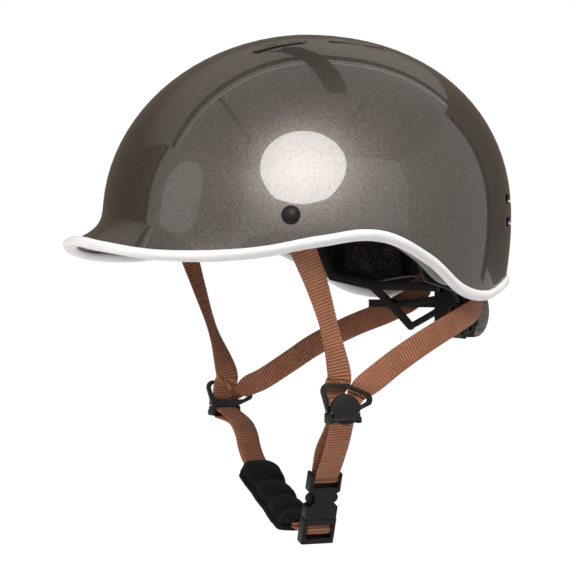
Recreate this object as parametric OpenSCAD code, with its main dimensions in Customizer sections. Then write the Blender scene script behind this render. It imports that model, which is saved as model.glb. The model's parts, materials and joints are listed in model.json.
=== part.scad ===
/* [Shell] */
// Half length of the dome at its widest level
dome_half_length = 129.8; // [120:0.5:140]
// Half width of the dome at its widest level
dome_half_width = 102.2; // [95:0.5:112]
// Height of the dome above its widest level
dome_height = 112.9; // [105:0.5:122]
// Wall of the hard shell
shell_wall = 2.5; // [2:0.1:3]
// How far the visor stands out at the front
visor_reach = 22.6; // [15:0.5:28]

/* [Rim] */
// Depth of the rim below the widest level at the front
rim_front = 15.1; // [12:0.5:18]
// Depth of the rim at the temples, the lowest part of the front half
rim_temple = 24.8; // [22:0.5:28]
// Depth of the rim over the ears
rim_ear = 13.1; // [10:0.5:16]
// Depth of the rim behind the ears, its lowest part
rim_nape = 48.6; // [45:0.1:52]
// How far the rim rises again towards the middle of the nape
nape_rise = 11; // [8:0.5:12]
// Diameter of the trim bead
trim_size = 7.5; // [7:0.1:9]

/* [Liner] */
// Thickness of the foam liner at the rim level
foam_thick = 19; // [17:0.5:21]
// How far above the rim's lowest part the foam ends at the nape
foam_rise_nape = 12.2; // [11:0.1:14]
// Thickness of the comfort pads
pad_thick = 5.5; // [4:0.5:7]

/* [Vents] */
// Length of a slot in the top rows
slot_length = 36; // [30:1:40]
// Width of a slot
slot_width = 6; // [5:0.5:7]
// Distance of each top row from the middle
slot_row_offset = 34; // [30:1:40]

/* [Webbing] */
// Width of the webbing
webbing_width = 15; // [14:0.5:16]
// Thickness of the webbing
webbing_thick = 1.4; // [1.2:0.1:1.6]

/* [Buckle] */
// Width of the buckle housing
buckle_width = 20.4; // [19.8:0.1:22]
// Thickness of the buckle housing
buckle_thick = 8; // [7.6:0.1:9]
// Length of the buckle housing
housing_length = 29; // [28:0.5:32]
// Length of the tongue's base
tongue_length = 16; // [15:0.5:18]

/* [Dividers] */
// Diameter of the round cam
cam_diameter = 18; // [17:0.5:19]
// Thickness of the divider frame
divider_thick = 3; // [2.6:0.1:3.4]

/* [Cradle] */
// Distance from the foam's inside to the cradle's ring, beside the temples
ring_inset_side = 8.2; // [7:0.1:10]
// Distance from the foam's inside to the cradle's ring, at the nape
ring_inset_nape = 5.8; // [5:0.1:8]
// Diameter of the dial knob
knob_diameter = 34; // [31:0.5:35]
// Teeth on the dial pinion
pinion_teeth = 10; // [10:1:11]
// Module of the dial pinion
gear_module = 1.2; // [1.15:0.05:1.25]

/* [Chin pad] */
// Width of the chin pad
chin_pad_width = 27; // [24:0.5:30]
// Sewn channels across the chin pad
chin_pad_channels = 4; // [3:1:5]

/* [Hidden] */

// Clearances: beside soft or faceted faces, of a turning pin on its radius, of a sliding face,
// and of a pin that is pressed in
gap = 0.3;
pin_gap = 0.05;
slide_gap = 0.3;
press_gap = 0.01;

// Curve exponents of the dome: its plan, its front profile and its rear profile
plan_power = 2.135;
front_power = 1.97;
rear_power = 2.18;
// How much the dome draws in 60 mm below its widest level: front, sides, rear
tuck_depth = 60;
tuck_front = 0.082;
tuck_side = 0.163;
tuck_rear = 0.045;
// The visor spreads over this angle to each side and starts at this height
visor_spread = 38;
visor_start = 8;
visor_curve = 2.8;

// Grid of the dome: steps round it, rows below and rows above the visor's start
turns = 72;
low_rows = 6;
high_rows = 9;
step = 360 / turns;

// Rim depth every 15 degrees from the front to the nape, between the driving depths
rim_depths = [
    rim_front, rim_front + 3.7, rim_temple - 1.1, rim_temple, rim_temple - 2.4,
    rim_ear + 3.4, rim_ear, rim_ear + 13.7, rim_nape - 4.6, rim_nape,
    rim_nape - 0.62 * nape_rise, rim_nape - 0.95 * nape_rise, rim_nape - nape_rise
];

function spow(v, p) = sign(v) * pow(abs(v), p);
function clamp01(v) = min(1, max(0, v));
function unit(v) = v / norm(v);
function mix(a, b, t) = a * (1 - t) + b * t;

// Smooth curve through evenly spaced values, mirrored at both ends
function spline_at(list, t) =
    let (n = len(list) - 1, i = min(n - 1, max(0, floor(t))), f = t - i,
         a = list[i == 0 ? 1 : i - 1], b = list[i], c = list[i + 1], d = list[i + 2 > n ? n - 1 : i + 2])
    b + 0.5 * f * (c - a + f * (2 * a - 5 * b + 4 * c - d + f * (3 * (b - c) + d - a)));

// Angles run from 0 at the front over 90 at the wearer's left to 180 at the nape
function fold_angle(a) = let (w = a - 360 * floor(a / 360)) w > 180 ? 360 - w : w;
function rim_z(a) = -spline_at(rim_depths, fold_angle(a) / 15);
function plan_dir(a) = [spow(sin(a), 2 / plan_power), -spow(cos(a), 2 / plan_power)];
function profile_power(a) =
    mix((front_power + rear_power) / 2, cos(a) > 0 ? front_power : rear_power, pow(cos(a), 2));
function tuck(a) = mix(tuck_side, cos(a) > 0 ? tuck_front : tuck_rear, pow(cos(a), 2));
function swell(z, a, height) =
    z > 0 ? pow(max(0, 1 - pow(min(1, z / height), profile_power(a))), 1 / profile_power(a))
          : 1 - tuck(a) * pow(z / tuck_depth, 2);
function flare(z, a) =
    visor_reach * exp(-pow(fold_angle(a) / visor_spread, 3))
    * pow(clamp01((visor_start - z) / (visor_start - rim_z(a))), visor_curve);

// A point of the outer skin at angle a and height z
function skin(a, z) =
    let (s = swell(z, a, dome_height), c = plan_dir(a), f = flare(z, a))
    [dome_half_width * s * c[0] + f * sin(a), dome_half_length * s * c[1] - f * cos(a), z];
function skin_normal(a, z) =
    z > dome_height - 0.05 ? [0, 0, 1] :
    unit(cross(skin(a + 0.5, z) - skin(a - 0.5, z),
               skin(a, min(z + 0.5, dome_height - 0.02)) - skin(a, z - 0.5)));
function skin_inset(a, z, depth) = skin(a, z) - depth * skin_normal(a, z);
// Unit vector down along the lowest row of the skin, at the rim
function skin_down(a) =
    let (z = rim_z(a)) unit(skin(a, z) - skin(a, mix(z, visor_start, 1 / low_rows)));

// Heights of the rows of one meridian, from its lower end to the crown of its own dome
function row_heights(bottom, height) = concat(
    [for (i = [0 : low_rows]) mix(bottom, visor_start, i / low_rows)],
    [for (j = [1 : high_rows - 1]) height * sin(mix(asin(visor_start / height), 90, j / high_rows))]
);

// The inside of the foam: straight walls below the widest level, a smaller dome above it
foam_out = shell_wall + 0.5;
foam_lift = 1.2;
// The foam steps in round the trim bead: by how much, and up to which height above its edge
foam_step_in = 3.1;
foam_step_high = 4.2;
cavity_half_width = dome_half_width - foam_out - foam_thick;
cavity_half_length = dome_half_length - foam_out - foam_thick;
cavity_height = dome_height - foam_out - foam_thick;
function cavity(a, z) =
    let (s = z > 0 ? swell(z, a, cavity_height) : 1, c = plan_dir(a))
    [cavity_half_width * s * c[0], cavity_half_length * s * c[1], z];
function cavity_normal(a, z) =
    unit(cross(cavity(a + 1, z) - cavity(a - 1, z), cavity(a, z + 0.5) - cavity(a, z - 0.5)));

// A closed skin from a grid of rings: each ring has the same count, ends are capped by fans
function ring_faces(rings, count, closed) = concat(
    [for (r = [0 : rings - 2]) for (i = [0 : count - 1])
        let (j = (i + 1) % count, a = r * count + i, b = r * count + j, c = a + count, d = b + count)
        each [[a, b, d], [a, d, c]]],
    closed ? [for (i = [0 : count - 1])
        let (j = (i + 1) % count, a = (rings - 1) * count + i, b = (rings - 1) * count + j)
        each [[a, b, j], [a, j, i]]]
    : [[for (i = [count - 1 : -1 : 0]) i], [for (i = [0 : count - 1]) (rings - 1) * count + i]]
);
module ring_solid(rings, closed = false) {
    count = len(rings[0]);
    polyhedron([for (ring = rings) each ring], ring_faces(len(rings), count, closed), convexity = 8);
}

// A bowl: outer rows from the rim up, the crown point, and inner rows back down to the rim
module bowl(outer_rows, outer_top, inner_rows, inner_top) {
    n = len(outer_rows[0]);
    no = len(outer_rows);
    ni = len(inner_rows);
    base_in = no * n;
    top_out = (no + ni) * n;
    points = concat([for (r = outer_rows) each r], [for (r = inner_rows) each r], [outer_top, inner_top]);
    polyhedron(points, concat(
        [for (r = [0 : no - 2]) for (i = [0 : n - 1])
            let (j = (i + 1) % n, a = r * n + i, b = r * n + j)
            each [[a, b + n, b], [a, a + n, b + n]]],
        [for (i = [0 : n - 1]) let (j = (i + 1) % n) [(no - 1) * n + i, top_out, (no - 1) * n + j]],
        [for (r = [0 : ni - 2]) for (i = [0 : n - 1])
            let (j = (i + 1) % n, a = base_in + r * n + i, b = base_in + r * n + j)
            each [[a, b, b + n], [a, b + n, a + n]]],
        [for (i = [0 : n - 1])
            let (j = (i + 1) % n, k = base_in + (ni - 1) * n) [k + i, k + j, top_out + 1]],
        [for (i = [0 : n - 1])
            let (j = (i + 1) % n) each [[i, j, base_in + j], [i, base_in + j, base_in + i]]]
    ), convexity = 6);
}

// The shell's edge lies this far above the rim line, inside the trim's slot
edge_lift = 0.6;
function shell_bottom(a) = rim_z(a) + edge_lift * abs(skin_down(a)[2]);

// Slots: top rows run front to back, nape rows run round the back
top_slot_y = [-35, 14.5, 60];
top_slot_length = [slot_length - 2, slot_length + 1, slot_length - 7];
nape_slot_z = [10.5, -3.5];
nape_slot_inner = 38;
nape_slot_outer = 61;
top_slot_lean = 16;
nape_slot_turn = 26;
module round_slot(length, width, depth) {
    cube([length - width, width, depth], center = true);
    for (s = [-1, 1])
        translate([s * (length - width) / 2, 0, 0])
            cylinder(d = width, h = depth, center = true, $fn = 32);
}
module vent_cutters() {
    for (s = [-1, 1]) {
        for (i = [0 : 2])
            translate([s * slot_row_offset, top_slot_y[i], dome_height * 0.8])
                rotate([0, s * top_slot_lean, 0]) rotate([0, 0, 90])
                    round_slot(top_slot_length[i], slot_width, dome_height * 0.75);
        for (z = nape_slot_z)
            translate([s * (nape_slot_inner + nape_slot_outer) / 2, dome_half_length * 0.8, z])
                rotate([0, 0, -s * nape_slot_turn]) rotate([90, 0, 0])
                    round_slot(nape_slot_outer - nape_slot_inner + 4, slot_width, dome_half_length * 0.75);
    }
}

// The rivets sit on the skin above the front straps
rivet_angle = 67.5;
rivet_z = -1.5;
rivet_cap_d = 11;
rivet_shank_d = 5;
rivet_hole_d = rivet_shank_d + 0.4;
// Turns a child's +Z to the outward normal of the skin at the left rivet, at a depth below the skin
module at_rivet(side, depth) {
    n = skin_normal(rivet_angle, rivet_z);
    mirror([side < 0 ? 1 : 0, 0, 0])
        translate(skin_inset(rivet_angle, rivet_z, depth))
            rotate([0, acos(n[2]), atan2(n[1], n[0])]) children();
}

module outer_shell() {
    angles = [for (i = [0 : turns - 1]) i * step];
    rows = low_rows + high_rows;
    color("#5d5650") difference() {
        bowl([for (r = [0 : rows - 1]) [for (a = angles)
                 let (z = row_heights(shell_bottom(a), dome_height)[r]) skin(a, z)]],
             [0, 0, dome_height],
             [for (r = [0 : rows - 1]) [for (a = angles)
                 let (z = row_heights(shell_bottom(a), dome_height)[r]) skin_inset(a, z, shell_wall)]],
             [0, 0, dome_height - shell_wall]);
        vent_cutters();
        for (s = [-1, 1]) at_rivet(s, 0) cylinder(d = rivet_hole_d, h = 30, center = true, $fn = 48);
    }
}

// The trim is a round bead with a slot that takes the shell's edge
trim_r = trim_size / 2;
trim_mouth = 148;
trim_lip = trim_r * 0.85;
// The slot at one angle: mouth and floor on the outside, then floor and mouth on the inside
function slot_points(a) =
    let (low = shell_bottom(a), high = mix(low, visor_start, 1 / low_rows), d = skin_down(a),
         p = skin(a, low), q = skin(a, high), n = skin_normal(a, low), m = skin_normal(a, high),
         f = (trim_lip - edge_lift) / norm(q - p), inner = shell_wall + gap)
    [mix(p + gap * n, q + gap * m, f), p + gap * (n + d), p - inner * n + gap * d,
     mix(p - inner * n, q - inner * m, f)];
module edge_trim() {
    bead = [for (i = [0 : 12]) let (t = mix(-trim_mouth, trim_mouth, i / 12)) trim_r * [cos(t), sin(t)]];
    color("#e9e6e1") ring_solid([for (i = [0 : turns - 1])
        let (a = i * step, z = rim_z(a), d = skin_down(a), n = skin_normal(a, z),
             c = skin_inset(a, z, shell_wall / 2))
        concat([for (p = bead) c + p[0] * d + p[1] * n], slot_points(a))], closed = true);
}

// Lower wrap: a thin band that covers the foam's edge beside the trim
wrap_width = 7;
wrap_thick = 1.2;
function foam_bottom(a) =
    mix(rim_z(a) + foam_lift, foam_rise_nape - rim_nape, clamp01((fold_angle(a) - 106) / 40));
function foam_outer(a, z) =
    let (s = swell(z, a, dome_height - foam_out), c = plan_dir(a))
    [(dome_half_width - foam_out) * s * c[0], (dome_half_length - foam_out) * s * c[1], z];
function foam_step(a, z) =
    let (o = foam_outer(a, z), u = unit([o[0], o[1], 0])) o - foam_step_in * u;
module lower_wrap() {
    color("#6a625b") difference() {
        ring_solid([for (i = [0 : turns - 1])
            let (a = i * step, z = foam_bottom(a) - gap, p = foam_step(a, z), u = unit([p[0], p[1], 0]),
                 q = p - wrap_width * u)
            [p, q, q - [0, 0, wrap_thick], p - [0, 0, wrap_thick]]], closed = true);
        strap_pockets();
    }
}

module foam_liner() {
    angles = [for (i = [0 : turns - 1]) i * step];
    rows = low_rows + high_rows;
    color("#2b2a29") difference() {
        bowl(concat(
                 [for (lift = [0, foam_step_high]) [for (a = angles) foam_step(a, foam_bottom(a) + lift)]],
                 [for (r = [0 : rows - 1]) [for (a = angles)
                     let (z = row_heights(foam_bottom(a) + foam_step_high + 1.5, dome_height - foam_out)[r])
                     foam_outer(a, z)]]),
             [0, 0, dome_height - foam_out],
             [for (r = [0 : rows - 1]) [for (a = angles)
                 let (z = row_heights(foam_bottom(a), cavity_height)[r]) cavity(a, z)]],
             [0, 0, cavity_height]);
        vent_cutters();
        strap_pockets();
        for (s = [-1, 1]) translate([s * cavity_half_width, temple_y, temple_z]) rotate([0, 90, 0])
            cylinder(r = temple_pin_r + press_gap, h = 40, center = true, $fn = 48);
    }
}
// Pockets in the foam: for the rivets, the front straps and the rear straps' slots
front_pocket_depth = 11;
front_pocket_top = 13;
front_pocket_length = 49;
front_pocket_half = webbing_width / 2 + 1.5;
// The left strap leans back from its rivet; the right one hangs straight
front_lean = 20;
rear_slot_width = webbing_width + 2;
rear_slot_thick = webbing_thick + 2.6;
module strap_pockets() {
    for (s = [-1, 1]) {
        at_rivet(s, front_pocket_depth) linear_extrude(height = front_pocket_depth) polygon([
            [-front_pocket_top, -front_pocket_half - front_pocket_top * tan(front_lean)],
            [-front_pocket_top, front_pocket_half], [0, front_pocket_half],
            [front_pocket_length, front_pocket_half + front_pocket_length * tan(front_lean)],
            [front_pocket_length, -front_pocket_half], [0, -front_pocket_half]]);
        translate([s * rear_anchor[0], rear_anchor[1], rear_anchor[2] + 10])
            rotate([0, 0, -s * rear_anchor_turn])
                cube([rear_slot_width, rear_slot_thick, 70], center = true);
    }
}

// Rivets: a domed cap outside, a shank, and a washer behind the strap's end
strap_sag = 0.6;
strap_depth = shell_wall + gap + strap_sag;
washer_depth = strap_depth + webbing_thick + 2 * gap;
washer_thick = 1.5;
washer_d = 12;
cap_r = 7.2;
cap_h = 3.2;
flange_thick = 1.2;
module rivet(side) {
    shank_end = washer_depth + washer_thick + gap + flange_thick;
    color("#1b1b1b") at_rivet(side, 0) {
        translate([0, 0, gap]) intersection() {
            translate([0, 0, cap_h - cap_r]) sphere(r = cap_r, $fn = 64);
            cylinder(d = rivet_cap_d, h = cap_h + 1, $fn = 64);
        }
        translate([0, 0, -shank_end]) cylinder(d = rivet_shank_d, h = shank_end + gap + 0.5, $fn = 48);
        translate([0, 0, -shank_end]) cylinder(d = rivet_shank_d + 3, h = flange_thick, $fn = 48);
    }
}
module rivet_left() { rivet(1); }
module rivet_right() { rivet(-1); }
module rivet_washer(side) {
    color("#bdbdbd") at_rivet(side, washer_depth + washer_thick) difference() {
        cylinder(d = washer_d, h = washer_thick, $fn = 48);
        cylinder(d = rivet_shank_d + 0.2, h = 3 * washer_thick, center = true, $fn = 48);
    }
}
module rivet_washer_left() { rivet_washer(1); }
module rivet_washer_right() { rivet_washer(-1); }

// Pads: crowned patches on the inside of the foam, with their edges pinched thin
disc_thick = 1.3;
disc_lift = gap + 0.6;
pad_lift = disc_lift + disc_thick + gap;
pad_edge = 1.2;
module pad_patch(a0, a1, z0, z1, na, nz) {
    function crown(u) = pow(max(0, 1 - pow(abs(2 * u - 1), 6)), 0.5);
    function at(i, j, k) =
        let (u = i / na, v = j / nz, a = mix(a0, a1, u), z = mix(z0, z1, v),
             t = pad_lift + (k == 0 ? 0 : pad_edge + (pad_thick - pad_edge) * crown(u) * crown(v)))
        cavity(a, z) - t * cavity_normal(a, z);
    ring_solid([for (i = [0 : na]) concat(
        [for (j = [0 : nz]) at(i, j, 0)], [for (j = [nz : -1 : 0]) at(i, j, 1)])]);
}
brow_half_angle = 48;
brow_low = -6;
brow_high = 20;
module brow_pad() {
    color("#232323") pad_patch(-brow_half_angle, brow_half_angle, brow_low, brow_high, 20, 6);
}
side_pad_from = 60;
side_pad_to = 96;
module side_pad_left() { color("#232323") pad_patch(side_pad_from, side_pad_to, 6, 30, 10, 6); }
module side_pad_right() { color("#232323") mirror([1, 0, 0]) side_pad_left(); }
rear_half_angle = 30;
module rear_pad() {
    color("#232323") pad_patch(180 - rear_half_angle, 180 + rear_half_angle, 4, 28, 14, 6);
}
crown_pad_reach = 34;
crown_pad_width = 17;
module crown_pad() {
    n = 24;
    function crown_at(t, r, k) =
        let (x = crown_pad_width * r * sin(t), y = crown_pad_reach * r * cos(t),
             q = pow(x / cavity_half_width, 2) + pow(y / cavity_half_length, 2),
             z = cavity_height * sqrt(1 - q) - pad_lift)
        [x, y, z - (k == 0 ? 0 : pad_edge + (pad_thick - pad_edge) * sqrt(max(0, 1 - pow(r, 4))))];
    radii = [1, 0.85, 0.6, 0.3, 0.01];
    color("#232323") ring_solid(concat(
        [for (i = [len(radii) - 1 : -1 : 0]) [for (j = [0 : n - 1]) crown_at(-j * 360 / n, radii[i], 0)]],
        [for (i = [0 : len(radii) - 1]) [for (j = [0 : n - 1]) crown_at(-j * 360 / n, radii[i], 1)]]));
}
// Discs of hook tape on the foam behind the pads
disc_d = 14;
module hook_discs() {
    spots = [[-30, 7], [0, 7], [30, 7], [78, 18], [-78, 18], [160, 16], [200, 16]];
    color("#2e2e2e") {
        for (s = spots) {
            n = cavity_normal(s[0], s[1]);
            p = cavity(s[0], s[1]) - (disc_lift + disc_thick) * n;
            translate(p) rotate([0, acos(n[2]), atan2(n[1], n[0])])
                cylinder(d = disc_d, h = disc_thick, $fn = 32);
        }
        translate([0, 0, cavity_height - disc_thick - disc_lift])
            cylinder(d = disc_d, h = disc_thick, $fn = 32);
    }
}

// A flat strap along a route: each stop is [place, direction across the strap, width]
module tapered_ribbon(stops, thick) {
    sub = 3;
    n = len(stops) - 1;
    function place(t, k) = spline_vec([for (s = stops) s[k]], t);
    ring_solid([for (i = [0 : n * sub])
        let (t = i / sub, p = place(t, 0), across = unit(place(t, 1)), w = place(t, 2),
             ahead = unit(place(min(n, t + 0.05), 0) - place(max(0, t - 0.05), 0)),
             side = unit(across - (across * ahead) * ahead), face = cross(ahead, side))
        [p - side * w / 2 + face * thick / 2, p + side * w / 2 + face * thick / 2,
         p + side * w / 2 - face * thick / 2, p - side * w / 2 - face * thick / 2]]);
}
// The same at one width all along
module ribbon(stops, width, thick) {
    tapered_ribbon([for (s = stops) [s[0], s[1], width]], thick);
}
// Smooth curve through evenly numbered points, straight at both ends
function spline_vec(list, t) =
    let (n = len(list) - 1, i = min(n - 1, max(0, floor(t))), f = t - i, b = list[i], c = list[i + 1],
         a = i == 0 ? 2 * b - c : list[i - 1], d = i + 2 > n ? 2 * c - b : list[i + 2])
    b + 0.5 * f * ((c - a) + f * ((2 * a - 5 * b + 4 * c - d) + f * (3 * (b - c) + (d - a))));

// Dividers: the left one hangs here, and the right one a little lower
divider_place = [91.5, -20, -113.5];
divider_drop_right = 8;
divider_r = cam_diameter / 2;
divider_bar_r = 1.5;
divider_bar = [0.2, 0, -6.5];
mid_bar_low = -2.4;
mid_bar_high = 2;
mid_bar_thick = 1.2;
leg_inner = webbing_width / 2 + 0.4;
leg_width = 1.8;
cam_axle_r = 1;
axle_x = divider_thick + 3.6;
axle_z = -6.2;
function side_place(side, p) = [side * p[0], p[1], p[2] - (side < 0 ? divider_drop_right : 0)];
module at_divider(side) {
    translate(side_place(side, divider_place)) mirror([side < 0 ? 1 : 0, 0, 0]) children();
}

function arc(c, r, a0, a1, n) = [
    for (i = [0 : n]) c + r * [cos(mix(a0, a1, i / n)), sin(mix(a0, a1, i / n))]];
// Outline of the divider in its own plane: y runs back, z runs up
top_front = [-8.4, 10.5];
top_rear = [14.5, 5];
corner_r = 4.6;
window_inset = 2.4;
module divider_outline(inset) {
    polygon(concat(
        arc([0, 0], leg_inner + leg_width - inset, 190, 350, 10),
        arc(top_rear, corner_r - inset, -40, 70, 6),
        [[3.5, 14.6 - inset]],
        arc(top_front, corner_r - inset, 85, 188, 6)));
}
// Stands a flat outline up in the divider's plane, with its thickness along x
module upright(from, thick) {
    translate([from, 0, 0]) rotate([90, 0, 90]) linear_extrude(height = thick) children();
}
module divider(side) {
    leg_outer = leg_inner + leg_width;
    color("#1c1c1c") at_divider(side) difference() {
        union() {
            upright(0, divider_thick) difference() {
                divider_outline(0);
                intersection() {
                    divider_outline(window_inset);
                    translate([-20, mid_bar_high]) square([40, 30]);
                }
                translate([-leg_inner, -20]) square([2 * leg_inner, 20 + mid_bar_high]);
            }
            upright(0, mid_bar_thick)
                translate([-leg_inner - 0.5, mid_bar_low])
                    square([2 * leg_inner + 1, mid_bar_high - mid_bar_low]);
            for (s = [-1, 1]) translate([0, s * (leg_inner + leg_width / 2), 0]) {
                translate([-1.4, -leg_width / 2, axle_z - 2]) cube([axle_x + 1.4, leg_width, 6]);
                translate([axle_x, 0, axle_z]) rotate([90, 0, 0])
                    cylinder(r = 2, h = leg_width, center = true, $fn = 32);
            }
            translate(divider_bar) rotate([90, 0, 0])
                cylinder(r = divider_bar_r, h = 2 * leg_inner + 1, center = true, $fn = 32);
        }
        translate([axle_x, 0, axle_z]) rotate([90, 0, 0])
            cylinder(r = cam_axle_r + pin_gap, h = 4 * leg_outer, center = true, $fn = 32);
    }
}
module divider_left() { divider(1); }
module divider_right() { divider(-1); }

// The round cam turns on two axle stubs in the divider's legs, and its nose presses on the straps
cam_thick = 2.6;
module divider_cam(side) {
    nose_x = mid_bar_thick + 2 * (gap + webbing_thick) + 0.35;
    color("#222222") at_divider(side) difference() {
        union() {
            translate([axle_x - cam_thick / 2, 0, 0]) rotate([0, 90, 0])
                cylinder(r = divider_r, h = cam_thick, $fn = 96);
            translate([nose_x, 1 - leg_inner, -1]) cube([axle_x - nose_x, 2 * leg_inner - 2, 2.4]);
            translate([axle_x, 0, axle_z]) rotate([90, 0, 0])
                cylinder(r = 1.6, h = 2 * (leg_inner - slide_gap), center = true, $fn = 32);
            translate([axle_x, 0, axle_z]) rotate([90, 0, 0])
                cylinder(r = cam_axle_r, h = 2 * (leg_inner + leg_width), center = true, $fn = 32);
        }
        for (s = [-1, 1])
            translate([axle_x - 4, s * (leg_inner + leg_width / 2) - leg_width / 2 - slide_gap, axle_z - 5])
                difference() {
                    cube([8, leg_width + 2 * slide_gap, 9.4]);
                    translate([4, 0, 5]) rotate([-90, 0, 0])
                        cylinder(r = cam_axle_r, h = leg_width + 2 * slide_gap, $fn = 32);
                }
        translate([axle_x - cam_thick, -divider_r, axle_z - 3.2]) cube([cam_thick, 2 * divider_r, 1.3]);
    }
}
module divider_cam_left() { divider_cam(1); }
module divider_cam_right() { divider_cam(-1); }

// Front straps: from behind the rivet, out past the trim and down to the divider
module front_strap(side) {
    n = skin_normal(rivet_angle, rivet_z);
    along = unit([-n[1], n[0], 0]);
    lean = side > 0 ? front_lean : 0;
    leaned = cos(lean) * along + [0, 0, sin(lean)];
    turned = side > 0 ? [-0.4, 0.92, 0.28] : [0.75, 0.66, 0.2];
    bow = side > 0 ? 2.4 : 0;
    depth = strap_depth + webbing_thick / 2;
    function inside(drop, deeper) = skin_inset(rivet_angle, rivet_z - drop, depth + deeper)
        + drop * tan(lean) * along;
    hang = inside(20, 3.9);
    end = divider_place - [0, 0, side < 0 ? divider_drop_right : 0];
    over = end + [-1.6, 0, 19];
    layer = mid_bar_thick + gap + webbing_thick / 2;
    route = [
        [inside(-9, 0), leaned, 15],
        [inside(0, 0), leaned, 15],
        [inside(7, 0), leaned, 15],
        [inside(13, 1.8), leaned, 15],
        [hang, leaned, 15],
        [mix(hang, over, 0.3) + [0, bow, 0], mix(leaned, turned, 0.6), 15],
        [mix(hang, over, 0.65) + [0, bow, 0], turned, 15],
        [over, [0, 1, 0.1], 15],
        [end + [-1.5, -2.6, 13.2], [0, 1, 0], 13.4],
        [end + [0.7, -3.1, 6.8], [0, 1, 0], 11.8],
        [end + [layer, -1.2, 2.6], [0, 1, 0], 12.6],
        [end + [layer, -1, mid_bar_low + 0.5], [0, 1, 0], 13]
    ];
    color("#a5714f") difference() {
        mirror([side < 0 ? 1 : 0, 0, 0])
            tapered_ribbon([for (s = route) [s[0], s[1], s[2] * webbing_width / 15]], webbing_thick);
        at_rivet(side, 0) cylinder(d = rivet_shank_d + 0.6, h = 14, center = true, $fn = 48);
    }
}
module front_strap_left() { front_strap(1); }
module front_strap_right() { front_strap(-1); }

// Rear straps: from the divider back and up to a slot in the foam beside the nape
rear_anchor = [38, 100.5, -32];
rear_anchor_turn = 22;
rear_anchor_top = 30;
module rear_strap(side) {
    drop = [0, 0, side < 0 ? divider_drop_right : 0];
    end = divider_place;
    slot_dir = [-cos(rear_anchor_turn), sin(rear_anchor_turn), 0];
    layer = mid_bar_thick + 2 * gap + 1.5 * webbing_thick;
    // Each stop: place, direction across, width, share of the right divider's drop
    route = [
        [end + [layer, -0.5, mid_bar_low + 2], [0, 0.95, -0.3], 9, 1],
        [end + [layer, 2.6, 3.4], [0, 0.88, -0.47], 9.6, 1],
        [end + [layer - 0.6, 6.4, 5.2], [0, 0.9, -0.43], 10, 1],
        [end + [1.4, 8.7, 6.4], [0, 0.92, -0.39], 10, 1],
        [end + [-1.5, 10.2, 7.8], [0, 0.88, -0.48], 11, 1],
        [end + [-3.2, 15.4, 11.6], [0, 0.62, -0.78], 14, 1],
        [[84.8, 5, -97], [0.11, 0.45, -0.76], 15, 1],
        [[80.5, 21, -87.5], [0.06, 0.5, -0.82], 15, 0.85],
        [[78.6, 40, -76.5], [-0.05, 0.42, -0.9], 15, 0.75],
        [[71.6, 64, -65.5], [-0.15, 0.31, -0.94], 15, 0.6],
        [[57.5, 86.5, -57], [-0.27, 0.27, -0.92], 15, 0.3],
        [[43.5, 98.6, -47.5], [-0.6, 0.4, -0.69], 15, 0.1],
        [rear_anchor, slot_dir, 15, 0],
        [rear_anchor + [0, 0, rear_anchor_top], slot_dir, 15, 0]
    ];
    color("#a5714f") mirror([side < 0 ? 1 : 0, 0, 0])
        tapered_ribbon([for (s = route) [s[0] - s[3] * drop, s[1], s[2] * webbing_width / 15]], webbing_thick);
}
module rear_strap_left() { rear_strap(1); }
module rear_strap_right() { rear_strap(-1); }

// Anchor plugs: small plates moulded into the foam, above the rear straps' ends
module strap_anchor(side) {
    color("#141414") mirror([side < 0 ? 1 : 0, 0, 0])
        translate(rear_anchor + [0, 0, rear_anchor_top + gap]) rotate([0, 0, -rear_anchor_turn])
            translate([-webbing_width / 2, -1.8, 0]) cube([webbing_width, 3.6, 4]);
}
module strap_anchor_left() { strap_anchor(1); }
module strap_anchor_right() { strap_anchor(-1); }

// The buckle hangs on the left webbing; its seam stands on the arc that the tongue swings on
buckle_seam = [55.5, -18, -180.5];
hinge_place = side_place(-1, divider_place) + [-divider_bar[0], 0, divider_bar[2]];
buckle_lean = atan2(hinge_place[2] - buckle_seam[2], buckle_seam[0] - hinge_place[0]);
module at_buckle() { translate(buckle_seam) rotate([0, buckle_lean, 0]) children(); }
function in_buckle(p) = buckle_seam
    + p[0] * [cos(buckle_lean), 0, -sin(buckle_lean)] + [0, p[1], 0]
    + p[2] * [sin(buckle_lean), 0, cos(buckle_lean)];

// A block with its long edges rounded, standing from z0 to z1
module soft_block(w, t, z0, z1, r) {
    translate([0, 0, z0]) linear_extrude(height = z1 - z0) polygon(concat(
        arc([t / 2 - r, w / 2 - r], r, 0, 90, 5), arc([-t / 2 + r, w / 2 - r], r, 90, 180, 5),
        arc([-t / 2 + r, -w / 2 + r], r, 180, 270, 5), arc([t / 2 - r, -w / 2 + r], r, 270, 360, 5)));
}
cavity_w = webbing_width + 2.2;
cavity_t = 4.6;
lug_z = 12.8;
lug_r = 3.4;
lug_y = 6.9;
window_r = 5.2;
housing_bar_z = housing_length - 3;
housing_seam = 0.2;
bar_window_z = 20.6;
bar_r = 1.6;
edge_r = 1.4;
eye_r = bar_r + gap + 0.2 + webbing_thick / 2;
module buckle_housing() {
    color("#262523") at_buckle() difference() {
        soft_block(buckle_width, buckle_thick, housing_seam, housing_length, edge_r);
        translate([-cavity_t / 2, -cavity_w / 2, -1]) cube([cavity_t, cavity_w, 20]);
        for (s = [-1, 1]) translate([0, s * (buckle_width / 2 + 0.6), lug_z])
            rotate([0, 90, 0]) cylinder(r = window_r, h = 2 * buckle_thick, center = true, $fn = 48);
        difference() {
            translate([-buckle_thick, -webbing_width / 2 - 0.5, bar_window_z])
                cube([2 * buckle_thick, webbing_width + 1, housing_length]);
            translate([0, 0, housing_bar_z]) rotate([90, 0, 0])
                cylinder(r = bar_r, h = 40, center = true, $fn = 32);
        }
    }
}

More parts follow.
